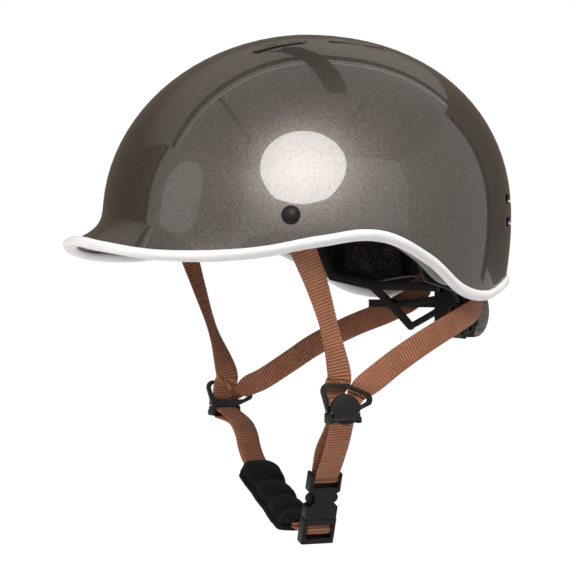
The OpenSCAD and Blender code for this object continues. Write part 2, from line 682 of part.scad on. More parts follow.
tongue_bar_z = -7.6;
tongue_slot = bar_r + 2 * gap + webbing_thick + 0.4;
tongue_slot_low = tongue_slot + 1.2;
guide_w = 2.2;
guide_t = 2.4;
guide_z = 13.5;
prong_y = lug_y - 0.9;
prong_thick = 2.4;
prong_depth = 2.6;
prong_root_z = -1.3;
module buckle_tongue() {
    color("#262523") at_buckle() union() {
        difference() {
            soft_block(buckle_width + 0.8, buckle_thick, -tongue_length, -housing_seam, edge_r);
            difference() {
                translate([-buckle_thick, -webbing_width / 2 - 0.5, tongue_bar_z - tongue_slot_low])
                    cube([2 * buckle_thick, webbing_width + 1, tongue_slot + tongue_slot_low]);
                translate([0, 0, tongue_bar_z]) rotate([90, 0, 0])
                    cylinder(r = bar_r, h = 40, center = true, $fn = 32);
            }
            for (s = [-1, 1])
                translate([0, s * prong_y, prong_root_z + 1.2])
                    cube([prong_depth + 2 * gap, prong_thick + 2 * gap, 3], center = true);
        }
        translate([-guide_t / 2, -guide_w / 2, -0.5]) cube([guide_t, guide_w, guide_z + 0.5]);
    }
}
// Spring prongs: each has an arm rooted in the tongue's base and a round lug for the side window
module prong(s) {
    color("#262523") at_buckle() {
        translate([-prong_depth / 2, s * prong_y - prong_thick / 2, prong_root_z])
            cube([prong_depth, prong_thick, lug_z - prong_root_z]);
        translate([0, s * lug_y, lug_z]) rotate([0, 90, 0])
            cylinder(r = lug_r, h = prong_depth, center = true, $fn = 32);
    }
}
module prong_front() { prong(-1); }
module prong_rear() { prong(1); }

// Stops of a half turn round a bar whose axis runs along y
function eye(c, r, a0, a1, n, across) =
    [for (i = [0 : n]) let (a = mix(a0, a1, i / n)) [c + r * [cos(a), 0, sin(a)], across]];

// Left lower webbing: a loop from the housing's bar round the divider's lower bar and back
divider_eye = divider_bar_r + gap + 0.25 + webbing_thick / 2;
module lower_strap_left() {
    across = [0, 1, 0];
    top = divider_place + divider_bar;
    bottom = in_buckle([0, 0, housing_bar_z]);
    color("#a5714f") ribbon(concat(
        eye(bottom, eye_r, 268, 365, 3, across),
        [[mix(bottom, top, 0.25) + [4.2, 0, 0], across], [mix(bottom, top, 0.6) + [4.8, 0, 0], across],
         [mix(bottom, top, 0.85) + [3.6, 0, 0], across]],
        eye(top, divider_eye, -5, 185, 6, across),
        [[mix(top, bottom, 0.2) + [-4, 0, 0], across], [mix(top, bottom, 0.5) + [-7.5, 0, 0], across],
         [mix(top, bottom, 0.8) + [-5.2, 0, 0], across]],
        eye(bottom, eye_r, 175, 228, 2, across)), webbing_width, webbing_thick);
}

// Chin webbing: a loop from the tongue's bar through the pad and round the right divider's lower bar
chin_route = [[-70, -18.6, -132.4], [-60.5, -18, -139.5], [-54.6, -18, -148.6],
              [-44.6, -18, -157.2], [-19.8, -18, -170.2], [1.5, -18, -179.2], [21, -18, -186.4],
              [37, -18, -188.2]];
chin_gap = 0.5;
function route_normal(r, i) =
    let (n = len(r) - 1, d = unit(r[min(n, i + 1)] - r[max(0, i - 1)])) unit([d[2], 0, -d[0]]);
function chin_layer(s) = [for (i = [0 : len(chin_route) - 1])
    [chin_route[i] + s * (chin_gap + webbing_thick) / 2 * route_normal(chin_route, i), [0, 1, 0]]];
function reversed(list) = [for (i = [len(list) - 1 : -1 : 0]) list[i]];
module chin_strap() {
    across = [0, 1, 0];
    tongue_bar = in_buckle([0, 0, tongue_bar_z]);
    color("#a5714f") ribbon(concat(
        [[tongue_bar + eye_r * [cos(150), 0, sin(150)], across]],
        eye(tongue_bar, eye_r, 105, -105, 5, across),
        reversed(chin_layer(1)),
        eye(hinge_place, divider_eye, 280, 70, 6, across),
        chin_layer(-1)), webbing_width, webbing_thick);
}

// Chin pad: a folded sleeve round the chin webbing, thick and channelled on the inner side
chin_pad_from = 3.1;
chin_pad_to = 6.75;
pad_upper = 6.5;
pad_lower = 3.2;
module chin_pad() {
    steps = chin_pad_channels * 6;
    hole_w = webbing_width / 2 + 0.8;
    hole_t = webbing_thick + chin_gap / 2 + gap + 0.15;
    color("#1d1d1d") ring_solid([for (i = [0 : steps])
        let (t = mix(chin_pad_from, chin_pad_to, i / steps), c = spline_vec(chin_route, t),
             d = unit(spline_vec(chin_route, t + 0.05) - spline_vec(chin_route, t - 0.05)),
             up = unit([-d[2], 0, d[0]]), puff = pow(abs(sin(180 * chin_pad_channels * i / steps)), 0.5),
             ends = i == 0 || i == steps ? 0.8 : 1, w = chin_pad_width / 2 * (0.9 + 0.1 * puff) * ends,
             hi = hole_t + pad_upper * (0.55 + 0.45 * puff) * ends, lo = hole_t + pad_lower * ends)
        [for (p = concat(
            [[-w - 1.5, -hole_t * 0.4], [-hole_w, -hole_t], [hole_w, -hole_t], [hole_w, hole_t],
             [-hole_w, hole_t], [-w - 0.2, hole_t * 0.3]],
            [[-w * 0.96, hi * 0.72], [-w * 0.7, hi], [0, hi * 1.04], [w * 0.7, hi], [w * 0.98, hi * 0.55],
             [w, 0], [w * 0.95, -lo * 0.7], [w * 0.7, -lo], [0, -lo * 1.02], [-w * 0.8, -lo],
             [-w - 1.2, -lo * 0.75]])) c + [0, p[0], 0] + p[1] * up]]);
}

// The cradle's ring stands on a circle round this axis; heights are those of the head's nape
ring_radius = cavity_half_width - ring_inset_side;
dial_y = cavity_half_length - ring_inset_nape;
ring_centre_y = dial_y - ring_radius;
ring_wall = 2.2;
dial_z = -60;
temple_y = ring_centre_y;
temple_z = 2;
temple_pin_r = 2;
strut_w = 5;
module ring_wall_between(r0, r1, z0, z1) {
    translate([0, ring_centre_y, z0]) difference() {
        cylinder(r = r1, h = z1 - z0, $fn = 180);
        translate([0, 0, -1]) cylinder(r = r0, h = z1 - z0 + 2, $fn = 180);
    }
}
// A flat pattern pushed outwards through the ring at an angle from the nape, towards the left
module from_ring_axis(turn) {
    translate([0, ring_centre_y, 0]) rotate([0, 0, -turn]) rotate([90, 0, 180])
        translate([0, 0, 10]) linear_extrude(height = 90) children();
}
// A strut between two points of that pattern: x along the ring, y up
module strut(p, q, w) {
    lean = atan2(q[1] - p[1], q[0] - p[0]);
    polygon(concat(arc(p, w / 2, lean + 90, lean + 270, 8), arc(q, w / 2, lean - 90, lean + 90, 8)));
}
// Corner points of a lobe, as [angle from the nape, height]
lobe_top_out = [55, -43.5];
lobe_top_in = [14, -44.5];
lobe_tip = [33, -70.5];
lobe_in = [15, -60];
lobe_turn = 34;
arm_turn = 76;
function on_pattern(p) = [-ring_radius * sin(p[0] - lobe_turn), p[1]];
// A flat pattern cut out of the ring's wall
module ring_part(turn, half_wall) {
    intersection() {
        ring_wall_between(ring_radius - half_wall, ring_radius + half_wall, -90, 20);
        from_ring_axis(turn) children();
    }
}
module half_lattice() {
    a = on_pattern(lobe_top_out);
    b = on_pattern(lobe_top_in);
    t = on_pattern(lobe_tip);
    c = on_pattern(lobe_in);
    elbow = [0, lobe_top_out[1] + 6];
    ring_part(lobe_turn, ring_wall / 2 - 0.1) {
        strut(a, b, strut_w + 1);
        strut(a, t, strut_w);
        strut(t, c, strut_w - 1);
        strut(mix(a, t, 0.52), on_pattern([17, -52]), strut_w - 1.5);
    }
    ring_part(arm_turn, ring_wall / 2 - 0.2) {
        strut([ring_radius * sin(arm_turn - lobe_top_out[0]), lobe_top_out[1]], elbow, strut_w + 1);
        strut(elbow, [-ring_radius * sin(90 - arm_turn), temple_z], strut_w + 1);
    }
}
module cradle_frame() {
    boss_in = ring_radius - ring_wall / 2;
    color("#171717") difference() {
        union() {
            half_lattice();
            mirror([1, 0, 0]) half_lattice();
            intersection() {
                ring_wall_between(boss_in, ring_radius + ring_wall / 2, dial_z - 17, dial_z + 19);
                translate([-20, ring_centre_y, -100]) cube([40, 100, 100]);
            }
            for (s = [-1, 1]) translate([s * boss_in, temple_y, temple_z]) rotate([0, s * 90, 0])
                cylinder(r = 5.5, h = temple_seat - boss_in - gap, $fn = 48);
        }
        for (s = [-1, 1]) translate([s * ring_radius, temple_y, temple_z]) rotate([0, 90, 0])
            cylinder(r = temple_pin_r + pin_gap, h = 40, center = true, $fn = 48);
        translate([0, dial_y, dial_z]) rotate([90, 0, 0])
            cylinder(r = screw_r + pin_gap, h = 12, center = true, $fn = 48);
        at_housing_screws() cylinder(r = housing_screw_r + pin_gap, h = 12, center = true, $fn = 32);
    }
}
temple_seat = cavity(110, temple_z)[0];

// Temple pins: a head on the head's side, and a shank that holds in the foam
module temple_pin(side) {
    head_x = ring_radius - ring_wall / 2 - gap;
    color("#101010") translate([side * (head_x - 1.4), temple_y, temple_z]) rotate([0, side * 90, 0]) {
        cylinder(r = 4, h = 1.4, $fn = 48);
        cylinder(r = temple_pin_r, h = temple_seat - head_x + 12, $fn = 48);
    }
}
module temple_pin_left() { temple_pin(1); }
module temple_pin_right() { temple_pin(-1); }

// The dial housing: a shallow box behind the ring's centre plate, open at both sides for the belts
housing_half = 19;
housing_low = dial_z - 16;
housing_high = dial_z + 16;
housing_wall = 2;
plate_out = ring_radius + ring_wall / 2;
belt_thick = 1.5;
belt_in = plate_out + slide_gap;
belt_mid = belt_in + belt_thick + slide_gap;
belt_end = belt_mid + belt_thick + slide_gap;
housing_out = belt_end + housing_wall;
housing_screw_r = 1.2;
housing_screw_turn = 12;
shaft_r = 3;
module at_housing_screws() {
    for (s = [-1, 1]) for (z = [housing_low + 2.2, housing_high - 2.2])
        translate([0, ring_centre_y, z]) rotate([0, 0, s * housing_screw_turn])
            translate([0, plate_out - ring_wall, 0]) rotate([-90, 0, 0]) children();
}
module dial_housing() {
    color("#181818") difference() {
        intersection() {
            ring_wall_between(plate_out + 0.02, housing_out, housing_low, housing_high);
            translate([-housing_half, ring_centre_y + 20, -100]) cube([2 * housing_half, 80, 100]);
        }
        ring_wall_between(plate_out - 1, belt_end, housing_low + 4.4, housing_high - 4.4);
        translate([0, dial_y, dial_z]) rotate([90, 0, 0])
            cylinder(r = shaft_r + pin_gap, h = 60, center = true, $fn = 48);
        at_housing_screws() cylinder(r = housing_screw_r + press_gap, h = 20, center = true, $fn = 32);
    }
}
module housing_screws() {
    color("#8d8d8d") at_housing_screws() {
        translate([0, 0, -gap]) cylinder(r = housing_screw_r, h = ring_wall + gap + 4.5, $fn = 32);
        translate([0, 0, -gap - 1.4]) cylinder(r = 2.1, h = 1.4, $fn = 32);
    }
}

// Belts: bands that slide round the ring; each has a window with a rack that the pinion drives
pitch_r = gear_module * pinion_teeth / 2;
tooth_out = 0.8 * gear_module;
tooth_in = 1.05 * gear_module;
rack_root = tooth_in + 0.4;
pressure_angle = 25;
backlash = 0.4;
belt_half_height = 9.6;
window_half_angle = 14;
function rack_radius(side) = (side > 0 ? belt_in : belt_mid) + belt_thick / 2;
module rack_teeth(side) {
    r = rack_radius(side);
    pitch = 180 * gear_module / r;
    count = floor(window_half_angle / pitch - 0.5);
    half = PI * gear_module / 4 - backlash / 2;
    lean = tan(pressure_angle);
    z = dial_z + side * pitch_r;
    for (i = [-count - 1 : count]) let (x = r * sin((i + 0.5) * pitch)) polygon([
        [x - half - rack_root * lean, z + side * rack_root],
        [x - half + tooth_out * lean, z - side * tooth_out],
        [x + half - tooth_out * lean, z - side * tooth_out],
        [x + half + rack_root * lean, z + side * rack_root]]);
}
belt_tail = 17;
belt_reach = 57;
belt_rim = 1.8;
arm_low = 2;
arm_high = 7;
module belt(side) {
    inner = side > 0 ? belt_in : belt_mid;
    z_root = pitch_r + tooth_in;
    tail = ring_radius * sin(belt_tail);
    window = ring_radius * sin(window_half_angle);
    below = side > 0 ? belt_half_height - belt_rim : z_root;
    color("#111111") intersection() {
        ring_wall_between(inner, inner + belt_thick, dial_z - 12, dial_z + 12);
        union() {
            from_ring_axis(0) {
                difference() {
                    translate([-tail, dial_z - belt_half_height]) square([2 * tail, 2 * belt_half_height]);
                    translate([-window, dial_z - below])
                        square([2 * window, z_root + belt_half_height - belt_rim]);
                }
                rack_teeth(side);
            }
            translate([0, ring_centre_y, dial_z + arm_low]) linear_extrude(height = arm_high - arm_low)
                polygon([for (a = [belt_tail - 1, (belt_tail + belt_reach) / 2, belt_reach])
                    90 * [side * sin(a), cos(a)], [0, 0]]);
        }
    }
}
module belt_left() { belt(1); }
module belt_right() { belt(-1); }

// Pinion: involute teeth, a journal in the housing's wall and a flatted end for the knob
function involute(r, t) = r * [cos(t) + t * PI / 180 * sin(t), sin(t) - t * PI / 180 * cos(t)];
function turned(p, a) = [p[0] * cos(a) - p[1] * sin(a), p[0] * sin(a) + p[1] * cos(a)];
module pinion_outline() {
    base = pitch_r * cos(pressure_angle);
    outer = pitch_r + tooth_out;
    root = pitch_r - tooth_in - 0.1;
    at_pitch = tan(pressure_angle) * 180 / PI - pressure_angle;
    half = 90 / pinion_teeth - backlash / 2 / pitch_r * 90 / PI + at_pitch;
    t_end = sqrt(pow(outer / base, 2) - 1) * 180 / PI;
    flank = [for (i = [0 : 4]) involute(base, t_end * i / 4)];
    polygon([for (k = [0 : pinion_teeth - 1]) let (a = k * 360 / pinion_teeth) each concat(
        [turned([root, 0], a - half)], [for (p = flank) turned(p, a - half)],
        [for (i = [4 : -1 : 0]) turned([flank[i][0], -flank[i][1]], a + half)], [turned([root, 0], a + half)])]);
}
screw_r = 1.5;
knob_in_y = ring_centre_y + housing_out + 1.6;
knob_out_y = dial_y + 18;
module flatted(r, h) {
    difference() {
        cylinder(r = r, h = h, $fn = 48);
        for (s = [-1, 1]) translate([s * (r + r * 0.75) - r, -r, -1]) cube([2 * r, 2 * r, h + 2]);
    }
}
module dial_pinion() {
    start = ring_centre_y + plate_out + slide_gap;
    color("#cfcac2") translate([0, start, dial_z]) rotate([-90, 0, 0]) difference() {
        union() {
            linear_extrude(height = ring_centre_y + belt_end - 2 * slide_gap - start) rotate(90)
                pinion_outline();
            cylinder(r = shaft_r, h = ring_centre_y + housing_out + 0.4 - start, $fn = 48);
            flatted(shaft_r, knob_in_y + 5 - start);
        }
        translate([0, 0, -1]) cylinder(r = screw_r + press_gap, h = 9, $fn = 32);
    }
}
module dial_screw() {
    start = ring_centre_y + plate_out + slide_gap;
    head = ring_centre_y + ring_radius - ring_wall / 2 - gap;
    color("#9a9a9a") translate([0, head, dial_z]) rotate([-90, 0, 0]) {
        translate([0, 0, -1.4]) cylinder(r = 3, h = 1.4, $fn = 48);
        cylinder(r = screw_r, h = start - head + 6, $fn = 32);
    }
}
// Knob: a cup with finger scallops, a hub for the pinion's end and clicks on its inner face
scallops = 14;
module dial_knob() {
    r = knob_diameter / 2;
    depth = knob_out_y - knob_in_y;
    color("#3a3a3a") translate([0, knob_in_y, dial_z]) rotate([-90, 0, 0]) difference() {
        union() {
            difference() {
                rotate_extrude($fn = 96) polygon(concat([[0, depth], [0, 0]],
                    [[r - 1.2, 0], [r, 1.2], [r, depth - 4]], arc([r - 4, depth - 4], 4, 0, 80, 6)));
                translate([0, 0, -1]) cylinder(r = r - 3, h = 4.2, $fn = 64);
                for (i = [0 : scallops - 1]) rotate((i + 0.5) * 360 / scallops)
                    translate([r + 2.2, 0, -1]) cylinder(r = 3, h = depth + 2, $fn = 24);
            }
            cylinder(r = shaft_r + 2.5, h = 3.4, $fn = 48);
        }
        difference() {
            translate([0, 0, -1]) cylinder(r = shaft_r + 0.02, h = 6.3, $fn = 48);
            for (s = [-1, 1]) translate([s * (2 * shaft_r - shaft_r * 0.25 + 0.02) - shaft_r, -shaft_r, -1])
                cube([2 * shaft_r, 2 * shaft_r, 7]);
        }
    }
}
// Detent ring: a spring ring between the housing and the knob's cup
module detent_ring() {
    color("#c9c9c9") translate([0, ring_centre_y + housing_out + 0.1, dial_z]) rotate([-90, 0, 0])
        difference() {
            cylinder(r = 12.5, h = 1, $fn = 64);
            translate([0, 0, -1]) cylinder(r = 9, h = 3, $fn = 64);
        }
}

outer_shell();
edge_trim();
lower_wrap();
foam_liner();
rivet_left();
rivet_right();
rivet_washer_left();
rivet_washer_right();
brow_pad();
side_pad_left();
side_pad_right();
crown_pad();
rear_pad();
hook_discs();
front_strap_left();
front_strap_right();
rear_strap_left();
rear_strap_right();
strap_anchor_left();
strap_anchor_right();
divider_left();
divider_right();
divider_cam_left();
divider_cam_right();
lower_strap_left();
buckle_housing();
buckle_tongue();
prong_front();
prong_rear();
chin_strap();
chin_pad();
cradle_frame();
temple_pin_left();
temple_pin_right();
dial_housing();
housing_screws();
belt_left();
belt_right();
dial_pinion();
dial_knob();
dial_screw();
detent_ring();
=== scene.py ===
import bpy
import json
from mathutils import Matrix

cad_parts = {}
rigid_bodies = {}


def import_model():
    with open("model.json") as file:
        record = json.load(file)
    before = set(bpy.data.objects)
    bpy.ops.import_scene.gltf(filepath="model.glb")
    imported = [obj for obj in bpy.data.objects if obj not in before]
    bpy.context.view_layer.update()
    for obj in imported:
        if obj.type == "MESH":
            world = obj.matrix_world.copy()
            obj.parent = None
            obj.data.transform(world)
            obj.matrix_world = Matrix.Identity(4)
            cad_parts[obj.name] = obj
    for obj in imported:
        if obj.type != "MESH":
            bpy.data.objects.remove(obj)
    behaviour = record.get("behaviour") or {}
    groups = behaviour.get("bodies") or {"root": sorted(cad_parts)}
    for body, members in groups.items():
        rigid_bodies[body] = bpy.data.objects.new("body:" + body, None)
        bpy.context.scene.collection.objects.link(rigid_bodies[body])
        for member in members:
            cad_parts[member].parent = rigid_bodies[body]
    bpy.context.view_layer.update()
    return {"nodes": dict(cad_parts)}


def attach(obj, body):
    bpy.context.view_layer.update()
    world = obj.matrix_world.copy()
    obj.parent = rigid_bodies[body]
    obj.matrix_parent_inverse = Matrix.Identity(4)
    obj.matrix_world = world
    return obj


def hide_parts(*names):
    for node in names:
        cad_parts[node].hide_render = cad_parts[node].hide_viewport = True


bl_info = {
    "name": "Bicycle helmet",
    "version": (1, 0, 0),
    "blender": (4, 5, 0),
    "location": "3D View > Sidebar > Helmet",
    "description": "Dresses the helmet's frame with its paint, foam, webbing and moulded parts",
    "category": "Object",
}

import bpy
import bmesh
import json
import math
from mathutils import Matrix, Vector

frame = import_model()
NODES = frame["nodes"]
MM = 0.001


# Sizes that the shape functions share, in millimetres, as the part's source has them.
# The dome above and below its widest level, which lies at height 0
HALF_LENGTH, HALF_WIDTH, HEIGHT = 129.8, 102.2, 112.9
PLAN_POWER, FRONT_POWER, REAR_POWER = 2.135, 1.97, 2.18
TUCK_DEPTH, TUCK_FRONT, TUCK_SIDE, TUCK_REAR = 60, 0.082, 0.163, 0.045
SHELL_WALL = 2.5
# The visor: its reach, its spread in degrees, the height it starts at and how it curves out
VISOR_REACH, VISOR_SPREAD, VISOR_START, VISOR_CURVE = 22.6, 38, 8, 2.8
# The rim's depth below the widest level, every RIM_STEP degrees from the front to the nape
RIM_DEPTHS = [15.1, 18.8, 23.7, 24.8, 22.4, 16.5, 13.1, 26.8, 44, 48.6, 41.78, 38.15, 37.6]
RIM_STEP = 15
TRIM_R = 3.75
# The foam's outside below the skin, its wall, its step beside the trim and its lower edge,
# which leaves the rim behind the ears and turns level over FOAM_BLEND degrees
FOAM_OUT, FOAM_THICK, FOAM_STEP = 3.0, 19, 3.1
FOAM_LIFT, FOAM_NAPE, FOAM_LEAVES, FOAM_BLEND = 1.2, -36.4, 106, 40
WEB_WIDTH, WEB_THICK, GAP = 15, 1.4, 0.3
# The front strap's rivet and the left strap's lean from it, and the rear strap's slot
RIVET_ANGLE, RIVET_Z, FRONT_LEAN = 67.5, -1.5, 20
REAR_ANCHOR, REAR_SLOT_TURN = Vector((38, 100.5, -32)), 22


def sind(a):
    return math.sin(math.radians(a))


def cosd(a):
    return math.cos(math.radians(a))


def spow(v, p):
    """A power that keeps the sign"""
    return math.copysign(abs(v) ** p, v)


def mix(a, b, t):
    return a * (1 - t) + b * t


def clamp01(v):
    return min(1.0, max(0.0, v))


def spline_at(values, t):
    """Smooth curve through evenly spaced values, mirrored at both ends"""
    n = len(values) - 1
    i = min(n - 1, max(0, math.floor(t)))
    f = t - i
    a, b, c = values[1 if i == 0 else i - 1], values[i], values[i + 1]
    d = values[n - 1 if i + 2 > n else i + 2]
    return b + 0.5 * f * (c - a + f * (2 * a - 5 * b + 4 * c - d + f * (3 * (b - c) + d - a)))


def fold_angle(a):
    """Degrees from the front, alike on both sides"""
    w = a % 360
    return 360 - w if w > 180 else w


def rim_z(a):
    return -spline_at(RIM_DEPTHS, fold_angle(a) / RIM_STEP)


def plan_dir(a):
    """Outline seen from above, for half sizes of 1"""
    return spow(sind(a), 2 / PLAN_POWER), -spow(cosd(a), 2 / PLAN_POWER)


def swell(z, a, height):
    """How wide the dome is at a height, as a share of its widest level"""
    front = cosd(a) > 0
    if z > 0:
        side_power = (FRONT_POWER + REAR_POWER) / 2
        p = mix(side_power, FRONT_POWER if front else REAR_POWER, cosd(a) ** 2)
        return max(0.0, 1 - min(1.0, z / height) ** p) ** (1 / p)
    tuck = mix(TUCK_SIDE, TUCK_FRONT if front else TUCK_REAR, cosd(a) ** 2)
    return 1 - tuck * (z / TUCK_DEPTH) ** 2


def flare(z, a):
    """How far the visor stands out from the dome"""
    spread = math.exp(-((fold_angle(a) / VISOR_SPREAD) ** 3))
    fall = clamp01((VISOR_START - z) / (VISOR_START - rim_z(a)))
    return VISOR_REACH * spread * fall ** VISOR_CURVE


def skin(a, z):
    """A point of the outer skin at angle a (0 front, 90 wearer's left) and height z"""
    s, c, f = swell(z, a, HEIGHT), plan_dir(a), flare(z, a)
    return Vector((HALF_WIDTH * s * c[0] + f * sind(a), HALF_LENGTH * s * c[1] - f * cosd(a), z))


def skin_normal(a, z):
    if z > HEIGHT - 0.05:
        return Vector((0, 0, 1))
    across = skin(a + 0.5, z) - skin(a - 0.5, z)
    up = skin(a, min(z + 0.5, HEIGHT - 0.02)) - skin(a, z - 0.5)
    return across.cross(up).normalized()


def skin_inset(a, z, depth):
    return skin(a, z) - depth * skin_normal(a, z)


def skin_down(a):
    """The direction in which the shell runs into the rim"""
    z = rim_z(a)
    return (skin(a, z) - skin(a, z + 2.5)).normalized()


def foam_bottom(a):
    """Height of the foam's lower edge: along the rim, then level at the nape"""
    past_ear = clamp01((fold_angle(a) - FOAM_LEAVES) / FOAM_BLEND)
    return mix(rim_z(a) + FOAM_LIFT, FOAM_NAPE, past_ear)


def foam_outer(a, z):
    """A point of the foam's outside"""
    s, c = swell(z, a, HEIGHT - FOAM_OUT), plan_dir(a)
    return Vector(((HALF_WIDTH - FOAM_OUT) * s * c[0], (HALF_LENGTH - FOAM_OUT) * s * c[1], z))


def foam_step(a, z):
    """The foam's outside beside the trim, where it steps back"""
    p = foam_outer(a, z)
    return p - FOAM_STEP * Vector((p.x, p.y, 0)).normalized()


def cavity(a, z):
    """A point of the foam's inside"""
    t = FOAM_OUT + FOAM_THICK
    s = swell(z, a, HEIGHT - t) if z > 0 else 1
    c = plan_dir(a)
    return Vector(((HALF_WIDTH - t) * s * c[0], (HALF_LENGTH - t) * s * c[1], z))


def cavity_normal(a, z):
    across = cavity(a + 1, z) - cavity(a - 1, z)
    return across.cross(cavity(a, z + 0.5) - cavity(a, z - 0.5)).normalized()


# Mesh helpers
def settings():
    return bpy.context.scene.helmet_sizes


def clear_selection():
    if bpy.context.object and bpy.context.object.mode != "OBJECT":
        bpy.ops.object.mode_set(mode="OBJECT")
    bpy.ops.object.select_all(action="DESELECT")


def make_active(obj):
    clear_selection()
    obj.select_set(True)
    bpy.context.view_layer.objects.active = obj
    return obj


def mesh_piece(name, points, faces, uvs=None):
    """A new piece from points in millimetres; uvs holds one pair for each corner of each face"""
    mesh = bpy.data.meshes.new(name)
    mesh.from_pydata([Vector(p) * MM for p in points], [], faces)
    if uvs:
        layer = mesh.uv_layers.new(name="UVMap")
        for loop, uv in zip(layer.data, (c for f in uvs for c in f)):
            loop.uv = uv
    mesh.update()
    obj = bpy.data.objects.new(name, mesh)
    bpy.context.collection.objects.link(obj)
    return obj


def ring_piece(name, rings, closed=False, uv_rows=None):
    """A swept form through rings of points in millimetres"""
    n, m = len(rings), len(rings[0])
    faces, uvs = [], []
    for r in range(n if closed else n - 1):
        s = (r + 1) % n
        for i in range(m):
            j = (i + 1) % m
            faces.append([r * m + i, r * m + j, s * m + j, s * m + i])
            if uv_rows:
                u, v, w, x = uv_rows[r], uv_rows[s], i / m, (i + 1) / m
                uvs.append([(u, w), (u, x), (v, x), (v, w)])
    if not closed:
        faces.append(list(range(m - 1, -1, -1)))
        faces.append(list(range((n - 1) * m, n * m)))
        if uv_rows:
            uvs.append([(uv_rows[0], i / m) for i in range(m - 1, -1, -1)])
            uvs.append([(uv_rows[-1], i / m) for i in range(m)])
    obj = mesh_piece(name, [p for r in rings for p in r], faces, uvs or None)
    face_outwards(obj)
    return obj


def face_outwards(obj):
    """Turns all faces of a closed mesh outwards"""
    work = bmesh.new()
    work.from_mesh(obj.data)
    bmesh.ops.recalc_face_normals(work, faces=work.faces)
    work.to_mesh(obj.data)
    work.free()


def smooth(obj, angle):
    """Shades a piece smooth up to an angle between its faces"""
    make_active(obj)
    bpy.ops.object.shade_smooth_by_angle(angle=math.radians(angle))


def modify(obj, kind, **values):
    """Adds a modifier, sets its values and applies it"""
    make_active(obj)
    mod = obj.modifiers.new(kind.title(), kind)
    for key, value in values.items():
        setattr(mod, key, value)
    bpy.ops.object.modifier_apply(modifier=mod.name)
    return obj


def node_copy(cad, name):
    """A merged copy of a frame solid, to be rounded and dressed"""
    source = NODES[cad]
    clear_selection()
    source.hide_set(False)
    source.select_set(True)
    bpy.context.view_layer.objects.active = source
    bpy.ops.object.duplicate(linked=False)
    obj = bpy.context.object
    obj.name = name
    obj.data.name = name
    for key in list(obj.keys()):
        if key.startswith("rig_"):
            del obj[key]
    bpy.ops.object.parent_clear(type="CLEAR_KEEP_TRANSFORM")
    obj.data.materials.clear()
    bpy.ops.object.mode_set(mode="EDIT")
    bpy.ops.mesh.select_all(action="SELECT")
    bpy.ops.mesh.remove_doubles(threshold=0.000005)
    bpy.ops.mesh.dissolve_limited(angle_limit=math.radians(1.0))
    bpy.ops.object.mode_set(mode="OBJECT")
    return obj


def rounded_node(cad, name, width, segments):
    """A frame solid with its edges broken"""
    obj = node_copy(cad, name)
    modify(obj, "BEVEL", width=width * MM, segments=segments, limit_method="ANGLE",
           angle_limit=math.radians(32), use_clamp_overlap=True)
    smooth(obj, 35)
    return obj


def apply_place(obj):
    """Takes the object's place, turn and scale into its mesh"""
    make_active(obj)
    bpy.ops.object.transform_apply(location=True, rotation=True, scale=True)


def cut(obj, cutters):
    """Takes the cutters out of a piece"""
    for cutter in cutters:
        modify(obj, "BOOLEAN", operation="DIFFERENCE", solver="EXACT", object=cutter)
    for cutter in cutters:
        bpy.data.objects.remove(cutter)


# Materials
def new_material(name):
    material = bpy.data.materials.new(name)
    material.use_nodes = True
    tree = material.node_tree
    return material, tree, tree.nodes["Principled BSDF"]


def set_inputs(made, values):
    """Writes the unlinked inputs of a shader node, by name or number"""
    for key, value in values.items():
        made.inputs[key].default_value = value


def node(tree, kind, inputs=None, **values):
    """A shader node with its inputs and its own settings"""
    made = tree.nodes.new(kind)
    for key, value in values.items():
        setattr(made, key, value)
    set_inputs(made, inputs or {})
    return made


def object_place(tree, stretch=(1, 1, 1)):
    """Object coordinates, the place on the piece"""
    coordinates = node(tree, "ShaderNodeTexCoord")
    mapping = node(tree, "ShaderNodeMapping", {"Scale": stretch})
    tree.links.new(coordinates.outputs["Object"], mapping.inputs["Vector"])
    return mapping.outputs["Vector"]


def noise(tree, place, scale, detail=2.0, rough=0.5):
    made = node(tree, "ShaderNodeTexNoise", {"Scale": scale, "Detail": detail, "Roughness": rough})
    tree.links.new(place, made.inputs["Vector"])
    return made.outputs["Fac"]


def cells(tree, place, scale):
    """Distance to the middle of packed cells"""
    made = node(tree, "ShaderNodeTexVoronoi", {"Scale": scale})
    tree.links.new(place, made.inputs["Vector"])
    return made.outputs["Distance"]


def scale_add(tree, value, factor, added):
    """value * factor + added, value and added being sockets"""
    made = node(tree, "ShaderNodeMath", {1: factor}, operation="MULTIPLY_ADD")
    tree.links.new(value, made.inputs[0])
    tree.links.new(added, made.inputs[2])
    return made.outputs[0]


def ramp(tree, factor, stops):
    """Colours at places from 0 to 1 along a factor"""
    made = node(tree, "ShaderNodeValToRGB")
    band = made.color_ramp
    while len(band.elements) < len(stops):
        band.elements.new(0.5)
    for element, (place, colour) in zip(band.elements, stops):
        element.position = place
        element.color = (*colour, 1)
    tree.links.new(factor, made.inputs["Fac"])
    return made.outputs["Color"]


def span(tree, factor, low, high, source=(0, 1)):
    """Takes a factor from its source range to low and high"""
    made = node(tree, "ShaderNodeMapRange", {
        "From Min": source[0], "From Max": source[1], "To Min": low, "To Max": high})
    tree.links.new(factor, made.inputs["Value"])
    return made.outputs["Result"]


def bump(tree, shader, height, strength, distance, before=None):
    """Fine relief of a material, on top of an earlier one"""
    made = node(tree, "ShaderNodeBump", {"Strength": strength, "Distance": distance})
    tree.links.new(height, made.inputs["Height"])
    if before:
        tree.links.new(before, made.inputs["Normal"])
    tree.links.new(made.outputs["Normal"], shader.inputs["Normal"])
    return made.outputs["Normal"]


def tint(colour, factor):
    """A colour made darker or lighter"""
    return tuple(min(1.0, c * factor) for c in colour)


